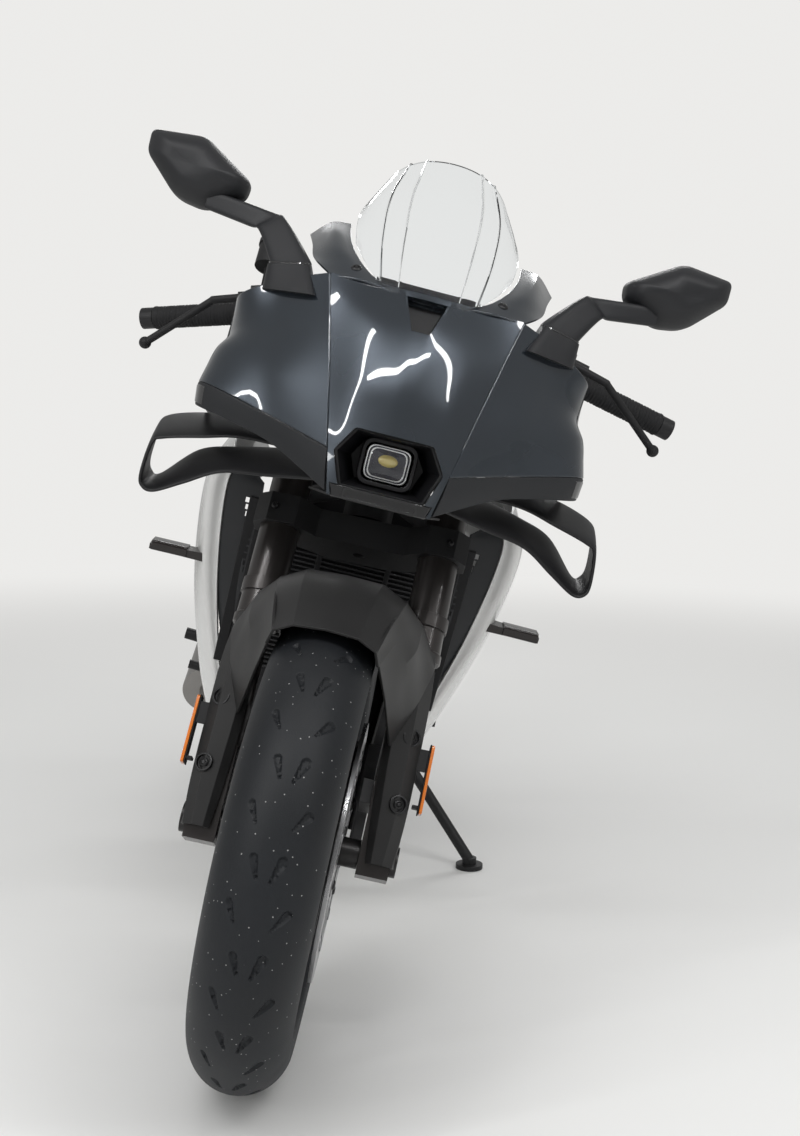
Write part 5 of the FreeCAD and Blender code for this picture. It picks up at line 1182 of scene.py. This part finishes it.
# start and end of each pocket on one pitch of the tread: (along, across, radius), and a share of the depth
FRONT_POCKETS = [
    ((8, 16.5, 6.2), (38, 5.0, 0.9), 1.0), ((9, -14.5, 5.0), (38, -4.8, 0.9), 1.0),
    ((62, 33, 6.2), (82, 17, 1.2), 1.0), ((60, -31, 4.8), (84, -19, 1.0), 1.0),
]
FRONT_NICKS = [
    ((22, 46, 1.5), (30, 38, 0.8), 0.5), ((76, 50, 1.5), (82, 43, 0.8), 0.5),
    ((22, -46, 1.5), (30, -38, 0.8), 0.5), ((76, -50, 1.5), (82, -43, 0.8), 0.5),
]
REAR_POCKETS = [
    ((8, 22, 4.2), (46, 7, 1.2), 1.0), ((8, -22, 4.2), (46, -7, 1.2), 1.0),
    ((52, 58, 3.6), (84, 30, 1.2), 1.0), ((52, -58, 3.6), (84, -30, 1.2), 1.0),
]
REAR_NICKS = [((20, 86, 1.0), (34, 76, 0.8), 0.6), ((20, -86, 1.0), (34, -76, 0.8), 0.6)]


class SPORTBIKE_OT_tyres(bpy.types.Operator):
    """Front and rear tyres with their tread pockets"""
    bl_idname = "sportbike.tyres"
    bl_label = "Tyres"

    def execute(self, context):
        depth = context.scene.sportbike_sizes.tread / MM
        front = pocketed_tyre(FRONT_RADIUS, 120, 44.5, 0.27, 44, 74, FRONT_POCKETS + FRONT_NICKS, depth)
        piece("front_tread", [front], FRONT_WHEEL, "tyre_rubber", ["front_tyre"], smooth=32)
        rear = pocketed_tyre(REAR_RADIUS, 180, 70, 0.34, 40, 86, REAR_POCKETS + REAR_NICKS, depth * 1.2)
        piece("rear_tread", [rear], REAR_WHEEL, "tyre_rubber", ["rear_tyre"], smooth=32)
        return {"FINISHED"}


SEAT = [
    # x, floor half, wide half, its height, top half, top height
    (-810.6, 54, 62, 818, 50, 838),
    (-880, 88, 104, 816, 78, 834),
    (-1000, 112, 134, 822, 104, 846),
    (-1078, 96, 124, 836, 96, 872),
]
PILLION = [
    (-1108.6, 60, 75.4, 904, 66, 924),
    (-1240, 62, 75.4, 925, 68, 956),
    (-1395.4, 42, 51.4, 950, 44, 976),
]


def cushion_form(table, floors, inset):
    """A smaller, rounded start for a cushion: its rings follow the table's eased widths and heights."""
    rows = []
    for (x, low, wide, wide_z, top, top_z), floor_z in zip(table, floors):
        side = np.array([
            (x, 0, floor_z + inset), (x, low - inset, floor_z + inset), (x, wide - inset, wide_z),
            (x, top - inset, top_z - inset), (x, 0, top_z - inset + 1),
        ], float)
        rows.append(np.concatenate([side, side[-2:0:-1] * (1, -1, 1)]))
    rows = np.array(rows)
    rows[0, :, 0] -= inset
    rows[-1, :, 0] += inset
    fine = ease(rows, 10)
    ring = np.concatenate([fine, fine[:, :1]], 1)
    return tube(np.swapaxes(ease(np.swapaxes(ring, 0, 1), 5)[:-1], 0, 1))


def corners_of(mesh):
    """The mesh's points as an array."""
    flat = np.empty(len(mesh.vertices) * 3, np.float32)
    mesh.vertices.foreach_get("co", flat)
    return flat.reshape(-1, 3)


def padded_cover(name, start, slot, node, cap):
    """A sewn cushion: the start is remeshed, swollen by cloth pressure with no gravity, no point moving more
    than the cap, and smoothed once."""
    thing = bare_object(name, [start], BIKE)
    remesh = thing.modifiers.new("even faces", "REMESH")
    remesh.mode = "VOXEL"
    remesh.voxel_size = 0.006
    mesh = modified(thing)
    thing.modifiers.clear()
    thing.data = mesh
    before = corners_of(mesh)
    settings = thing.modifiers.new("cloth", "CLOTH").settings
    settings.use_pressure = True
    settings.uniform_pressure_force = 4.0
    settings.effector_weights.gravity = 0.0
    for step in range(1, 21):
        bpy.context.scene.frame_set(step)
    swollen = modified(thing)
    away = corners_of(swollen) - before
    length = np.linalg.norm(away, axis=1, keepdims=True)
    away *= np.minimum(1.0, cap * MM / np.maximum(length, 1e-9))
    thing.modifiers.clear()
    mesh.vertices.foreach_set("co", (before + away).ravel())
    mesh.update()
    bpy.data.meshes.remove(swollen)
    bpy.context.scene.frame_set(1)
    finer = thing.modifiers.new("finer", "SUBSURF")
    finer.levels = finer.render_levels = 1
    dress(thing, name, "chassis", slot)
    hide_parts(node)


class SPORTBIKE_OT_seats(bpy.types.Operator):
    """Rider's seat and pillion pad, swollen by a cloth simulation"""
    bl_idname = "sportbike.seats"
    bl_label = "Seats"

    def execute(self, context):
        swelling = context.scene.sportbike_sizes.swelling / MM
        rider = cushion_form(SEAT, [800] * 4, 4)
        padded_cover("rider_cover", rider, "seat_vinyl", "rider_seat", swelling)
        pillion = cushion_form(PILLION, [880.3, 896, 912], 4)
        padded_cover("pillion_cover", pillion, "seat_vinyl", "pillion_seat", swelling * 0.8)
        return {"FINISHED"}


def screw(at, facing, radius, height):
    """A button-head screw: a domed profile spun about the facing line, with a six-sided socket."""
    dome = [(-1.5, radius), (height * 0.25, radius), (height * 0.7, radius * 0.86), (height, radius * 0.62)]
    top, key = height + 0.05, radius * 0.34
    socket = [(top, radius * 0.62), (top, key), (height - 1.2, key), (height - 1.25, 0.05)]
    return [spun(dome, 24, at, facing), spun(socket, 6, at, facing)]


WASHER = [(-3, 12.0), (0.4, 12.0), (0.8, 11.4), (0.8, 9.6), (0.2, 9.0), (-2.6, 8.6)]
BOBBIN = [(-6, 7.5), (1.0, 7.5), (1.4, 6.8), (1.4, 4.2), (0.8, 4.0)]
LEG_CAP = [(0, 24), (3, 24), (4, 22), (4, 13), (6, 12.4), (6, 6)]
STEM_NUT = [(0, 20), (6, 20), (8, 17), (8, 9), (3, 8.4)]
LOCK_RIM = [(0, 12), (2.4, 12), (3.4, 10.5), (3.4, 8)]
DISC_Y = 65
ENGINE_COVERS = [
    # centre forward and up, how far out, the screws' circle and their number, and the hand
    (-560, 380, 128, 62, 8, 1),
    (-640, 385, 145, 74, 9, -1),
    (-530, 440, 132, 40, 6, -1),
]


class SPORTBIKE_OT_screws(bpy.types.Operator):
    """Button-head screws, wheel bolts, disc bobbins, the cap's lock and the clamps' nut"""
    bl_idname = "sportbike.screws"
    bl_label = "Screws"

    def execute(self, context):
        parts = []
        for at in ((-34, 92, 998), (-92, 121, 1031)):
            parts += screw(at, (0.55, 0.15, 0.82), 6.6, 2.6)
        piece("screen_screws", both(parts), CHASSIS, "fastener_black", smooth=35)
        parts = []
        facing = (0.93, 0.36, 0)
        for x, y, z in ((46.5, 121.5, 148), (43, 122.5, 64)):
            parts.append(spun(WASHER, 32, (x, y, z), facing))
            parts += screw((x - 2.0, y - 0.8, z), facing, 6.6, 3.0)
        piece("guard_screws", both(parts), STEERING, "fastener_black", smooth=35)
        parts = []
        for a in turns(10, 0.5):
            parts.append(spun(BOBBIN, 20, (119 * math.sin(a), DISC_Y, 119 * math.cos(a)), (0, 1, 0)))
        piece("disc_bobbins", both(parts), FRONT_WHEEL, "fastener_steel", smooth=35)
        parts = []
        for a in turns(5):
            parts += screw((56 * math.sin(a), DISC_Y, 56 * math.cos(a)), (0, 1, 0), 6.0, 3.0)
        piece("disc_bolts", both(parts), FRONT_WHEEL, "fastener_black", smooth=35)
        parts = []
        for x, z, out, radius, count, hand in ENGINE_COVERS:
            for a in turns(count):
                at = (x + radius * math.cos(a), out * hand, z + radius * math.sin(a))
                parts += screw(at, (0, hand, 0), 5.5, 3.5)
        piece("engine_screws", parts, CHASSIS, "fastener_steel", smooth=35)
        parts = []
        for a in turns(7, 0.5):
            parts += screw((-590 + 31 * math.cos(a), 31 * math.sin(a), 1002), (0, 0, 1), 2.6, 1.2)
        parts.append(spun(LOCK_RIM, 32, (-592, 0, 1002), (0, 0, 1)))
        piece("cap_lock", parts, FUEL_CAP, "fastener_steel", smooth=35)
        parts = []
        for side in (-1, 1):
            for z in (665, 415):
                parts += screw((34, side * 118, z), (1, side * 0.2, 0), 4.6, 4)
            parts.append(spun(LEG_CAP, 40, (0, side * 108, 715), (0, 0, 1)))
        parts.append(spun(STEM_NUT, 40, (STEM_X, 0, 690), (0, 0, 1)))
        piece("clamp_screws", parts, STEERING, "fastener_black", smooth=35)
        return {"FINISHED"}


CHAIN_Y, CHAIN_PITCH = 107.0, 15.875
FRONT_TEETH, REAR_TEETH = 16, 41
FRONT_CENTRE, REAR_CENTRE = np.array((-812.0, 396.0)), np.array((-WHEELBASE, REAR_RADIUS))


def on_circle(centre, radius, angle):
    """Points of a circle at the angles."""
    return centre + radius * np.stack([np.cos(angle), np.sin(angle)], -1)


def chain_path():
    """Points a chain's pitch apart round both sprockets: straight runs and arcs, measured along
    their length."""
    r1, r2 = [CHAIN_PITCH / 2 / math.sin(math.pi / teeth) for teeth in (FRONT_TEETH, REAR_TEETH)]
    run = FRONT_CENTRE - REAR_CENTRE
    gap, turn = math.hypot(*run), math.atan2(run[1], run[0])
    tilt = math.acos((r2 - r1) / gap)
    straight_run = math.sqrt(gap ** 2 - (r2 - r1) ** 2)
    front_arc, rear_arc = 2 * tilt * r1, (2 * math.pi - 2 * tilt) * r2
    total = 2 * straight_run + front_arc + rear_arc
    count = int(round(total / CHAIN_PITCH / 2)) * 2
    s = total * np.arange(count) / count
    # starts at the top of the rear sprocket and runs forward
    first, last = turn + tilt, turn - tilt
    marks = np.cumsum([straight_run, front_arc, straight_run])
    top = [on_circle(REAR_CENTRE, r2, first), on_circle(FRONT_CENTRE, r1, first)]
    low = [on_circle(FRONT_CENTRE, r1, last), on_circle(REAR_CENTRE, r2, last)]
    forward = top[0] + (top[1] - top[0]) * (s / straight_run)[:, None]
    down = on_circle(FRONT_CENTRE, r1, first - (s - marks[0]) / r1)
    back = low[0] + (low[1] - low[0]) * ((s - marks[1]) / straight_run)[:, None]
    up = on_circle(REAR_CENTRE, r2, last - (s - marks[2]) / r2)
    stage = np.searchsorted(marks, s, side="right")
    return np.array([forward, down, back, up])[stage, np.arange(count)]


class SPORTBIKE_OT_chain(bpy.types.Operator):
    """Drive chain: waisted link plates in pairs and the pins and rollers that join them"""
    bl_idname = "sportbike.chain"
    bl_label = "Chain"

    def execute(self, context):
        path = chain_path()
        after = np.roll(path, -1, 0)
        middle, run = (path + after) / 2, after - path
        run /= np.linalg.norm(run, axis=1, keepdims=True)
        side = np.stack([-run[:, 1], run[:, 0]], 1)
        turn = turns(24)
        waist = 1 - 0.2 * np.exp(-(np.cos(turn) / 0.32) ** 2)
        link_x = np.sign(np.cos(turn)) * CHAIN_PITCH / 2 + np.cos(turn) * 7.0
        link_z = np.sin(turn) * 7.0 * waist
        outline = (
            middle[:, None] + run[:, None] * link_x[None, :, None] + side[:, None] * link_z[None, :, None]
        )
        parts = []
        for k, (x, z) in enumerate(path):
            near, far = (4.2, 6.3) if k % 2 else (6.7, 8.9)
            parts.append(plate_of(outline[k], CHAIN_Y + near, CHAIN_Y + far, 1))
            parts.append(plate_of(outline[k], CHAIN_Y - far, CHAIN_Y - near, 1))
            pin = [(0, 0.6), (0, 2.6), (19.0, 2.6), (19.0, 0.6)]
            parts.append(spun(pin, 8, (x, CHAIN_Y - 9.5, z), (0, 1, 0)))
            parts.append(spun([(0, 4.9), (8.2, 4.9)], 10, (x, CHAIN_Y - 4.1, z), (0, 1, 0)))
        piece("chain_links", parts, CHASSIS, "chain_steel", ["chain"], smooth=35)
        return {"FINISHED"}


class SPORTBIKE_OT_grips(bpy.types.Operator):
    """Ribbed grips: a profile whose radius steps up and down along the bar"""
    bl_idname = "sportbike.grips"
    bl_label = "Grips"

    def execute(self, context):
        back = np.array(RAKED.inverted())
        ends = np.array([(-400, 258, 945), (-430, 388, 914)], float) * MM @ back[:3, :3].T + back[:3, 3]
        inner, outer = ends / MM
        reach = np.linalg.norm(outer - inner)
        t = np.linspace(7, reach - 3, 92)
        ribs = 16.0 + 0.9 * (np.abs(((t / 5.2) % 1) - 0.5) < 0.3)
        profile = [(0, 11.6), (0, 21.5), (1.2, 22), (4.5, 22), (6, 21)] + list(zip(t, ribs))
        profile += [(reach - 1.5, 17.6), (reach + 0.8, 17.2), (reach + 1.2, 15.5), (reach + 1.2, 11.6)]
        grip = spun(profile, 40, inner, outer - inner)
        piece("ribbed_grips", both([grip]), STEERING, "grip_rubber", ["grips"], smooth=50)
        return {"FINISHED"}


class SPORTBIKE_OT_lamps(bpy.types.Operator):
    """Indicator glasses, the dash with its glass, and the tail lamp's bars"""
    bl_idname = "sportbike.lamps"
    bl_label = "Small lamps"

    def execute(self, context):
        rows = []
        for y in (238, 290):
            drop = (y - 190) / 103
            corners = np.array([(-352.5, 570.6), (-321.0, 570.6), (-319.0, 585.5), (-352.5, 588)])
            corners = corners - (0, drop)
            rows.append(np.insert(rounded_outline(corners, 4, 5), 1, y, axis=1))
        piece("indicator_glass", both([tube(ease(rows, 2))]), CHASSIS, "lamp_smoke", smooth=35)
        dash = (BIKE @ moved(-150, 0, 999) @ Matrix.Rotation(math.radians(81), 4, "Y"), "chassis")
        case = rounded_outline([(66, -32), (66, 32), (-66, 32), (-66, -32)], 8, 6)
        piece("dash_case", [plate_of(case, -1, 9, 0)], dash, "control_black", ["instruments"],
              bevel=2.0, segments=3)
        face = rounded_outline([(60, -26), (60, 26), (-60, 26), (-60, -26)], 5, 6)
        piece("dash_glass", [plate_of(face, -2.2, -1.1, 0)], dash, "lens_black", bevel=0.6)
        bars = []
        for k in range(4):
            half, z = 30 - 3 * k, 990 - 7 * k
            bars.append(block((-1655.2, -1653.0), (-half, half), (z - 2.2, z + 2.2)))
        piece("tail_bars", bars, CHASSIS, "lamp_red", bevel=0.8)
        return {"FINISHED"}


BACKDROP = (0.84, 0.835, 0.82, 1)
PHOTO_HEIGHT, FOCAL_PIXELS = 1136, 1327
SENSOR = 36.0
LAMPS = [
    # name, place, what it faces, width, depth and power
    ("left strip", (-2.7, -2.6, 2.7), (-2.2, -2.4, 0), 0.10, 3.6, 36),
    ("right strip", (2.7, -2.6, 2.7), (2.2, -2.4, 0), 0.10, 3.6, 36),
    ("cross strip", (0.0, -2.5, 2.9), (0.0, -0.9, 0.6), 3.6, 0.08, 40),
    ("window", (-2.6, -3.4, 1.9), (-0.2, -0.9, 0.8), 0.7, 0.5, 14),
    ("rear strip", (0.3, 2.6, 2.8), (0, 0.2, 0.6), 2.6, 0.25, 36),
]


class StageSizes(bpy.types.PropertyGroup):
    """Size and colour of the floor, and the light from all round"""
    floor_size: FloatProperty(
        name="Floor size", description="Side of the square floor", default=60.0, unit="LENGTH")
    floor_color: FloatVectorProperty(
        name="Floor colour", description="Colour of the floor near the bike", default=(0.84, 0.84, 0.83),
        subtype="COLOR")
    light: FloatProperty(name="Light", description="Strength of the soft light from all round", default=0.48)


def add_to_scene(name, data):
    """A new object in the scene that holds the data."""
    thing = bpy.data.objects.new(name, data)
    bpy.context.scene.collection.objects.link(thing)
    return thing


def floor_material(color):
    """A pale floor that fades, far from the bike and for the camera only, into the backdrop's colour."""
    material, tree, shader = new_material("Pale floor")
    shader.inputs["Base Color"].default_value = (*color, 1)
    shader.inputs["Roughness"].default_value = 0.55
    far = tree.add("VectorMath", operation="LENGTH")
    tree.link(tree.add("TexCoord"), "Object", far, 0)
    fade = tree.spread(far, "Value", 1.2, 5.5)
    fade.interpolation_type = "SMOOTHSTEP"
    share = tree.join("MULTIPLY", fade, "Result", tree.add("LightPath"), "Is Camera Ray")
    haze = tree.add("Emission", in_Color=BACKDROP)
    faded = tree.add("MixShader")
    tree.link(share, "Value", faded, "Fac")
    tree.link(shader, "BSDF", faded, 1)
    tree.link(haze, "Emission", faded, 2)
    tree.link(faded, "Shader", material.node_tree.nodes["Material Output"], "Surface")
    return material


def studio_world(light):
    """Soft light from all round; the camera and what is seen through glass get the backdrop's colour."""
    world = bpy.data.worlds.new("Studio")
    world.use_nodes = True
    tree = Tree(world.node_tree)
    soft = world.node_tree.nodes["Background"]
    soft.inputs["Color"].default_value = (0.9, 0.9, 0.89, 1)
    soft.inputs["Strength"].default_value = light
    seen = tree.add("Background", in_Color=BACKDROP, in_Strength=1.0)
    path = tree.add("LightPath")
    most = tree.join("MAXIMUM", path, "Is Camera Ray", path, "Is Transmission Ray")
    mixed = tree.add("MixShader")
    tree.link(most, "Value", mixed, "Fac")
    tree.link(soft, "Background", mixed, 1)
    tree.link(seen, "Background", mixed, 2)
    tree.link(mixed, "Shader", world.node_tree.nodes["World Output"], "Surface")
    return world


class SPORTBIKE_OT_stage(bpy.types.Operator):
    """Floor, backdrop, lamps and the camera at the photograph's place"""
    bl_idname = "sportbike.stage"
    bl_label = "Stage"

    def execute(self, context):
        sizes = context.scene.sportbike_stage
        half = sizes.floor_size / 2
        mesh = bpy.data.meshes.new("floor")
        corners = [(-half, -half, 0), (half, -half, 0), (half, half, 0), (-half, half, 0)]
        mesh.from_pydata(corners, [], [(0, 1, 2, 3)])
        add_to_scene("floor", mesh)
        mesh.materials.append(floor_material(sizes.floor_color))
        context.scene.world = studio_world(sizes.light)
        for name, place, aim, width, depth, power in LAMPS:
            lamp = bpy.data.lights.new(name, "AREA")
            lamp.shape = "RECTANGLE"
            lamp.size, lamp.size_y = width, depth
            lamp.energy = power
            holder = add_to_scene(name, lamp)
            holder.location = place
            holder.rotation_euler = (Vector(aim) - Vector(place)).to_track_quat("-Z", "Y").to_euler()
        camera = bpy.data.cameras.new("camera")
        camera.sensor_fit = "VERTICAL"
        camera.sensor_height = SENSOR
        camera.lens = SENSOR * FOCAL_PIXELS / PHOTO_HEIGHT
        holder = add_to_scene("camera", camera)
        # turned to the left, tipped down and rolled, as fitted to the photograph
        turn = Matrix.Rotation(math.radians(-2.53), 3, "Z") @ Matrix.Rotation(math.radians(-5.57), 3, "X")
        right, onward, up = turn.col[0].copy(), turn.col[1].copy(), turn.col[2].copy()
        c, s = math.cos(math.radians(1.21)), math.sin(math.radians(1.21))
        right, up = right * c + up * s, up * c - right * s
        facing = Matrix((right, up, -onward)).transposed().to_4x4()
        holder.matrix_world = Matrix.Translation(SHIFT + Vector((0.123, -1.607, 0.792))) @ facing
        context.scene.camera = holder
        context.scene.view_settings.view_transform = "Standard"
        return {"FINISHED"}


class SPORTBIKE_PT_panel(bpy.types.Panel):
    """The bike's pieces, each with its own button"""
    bl_label = "Sport bike"
    bl_idname = "SPORTBIKE_PT_panel"
    bl_space_type = "VIEW_3D"
    bl_region_type = "UI"
    bl_category = "Sport bike"

    def draw(self, context):
        for operator in OPERATORS:
            self.layout.operator(operator.bl_idname)


GROUP_CLASSES = {"sportbike_stage": StageSizes, "sportbike_paints": Paints, "sportbike_sizes": PieceSizes}
OPERATORS = [
    SPORTBIKE_OT_stage, SPORTBIKE_OT_finishes, SPORTBIKE_OT_nose, SPORTBIKE_OT_screen, SPORTBIKE_OT_winglets,
    SPORTBIKE_OT_fairings, SPORTBIKE_OT_tank, SPORTBIKE_OT_mirrors, SPORTBIKE_OT_headlamp,
    SPORTBIKE_OT_mudguard, SPORTBIKE_OT_tyres, SPORTBIKE_OT_seats, SPORTBIKE_OT_screws, SPORTBIKE_OT_chain,
    SPORTBIKE_OT_grips, SPORTBIKE_OT_lamps,
]
CLASSES = list(GROUP_CLASSES.values()) + OPERATORS + [SPORTBIKE_PT_panel]


def register():
    for item in CLASSES:
        bpy.utils.register_class(item)
    for name, group in GROUP_CLASSES.items():
        setattr(bpy.types.Scene, name, bpy.props.PointerProperty(type=group))


def unregister():
    for name in GROUP_CLASSES:
        delattr(bpy.types.Scene, name)
    for item in reversed(CLASSES):
        bpy.utils.unregister_class(item)


def main():
    register()
    for operator in OPERATORS:
        getattr(bpy.ops.sportbike, operator.bl_idname.split(".")[1])()


if __name__ == "__main__":
    main()
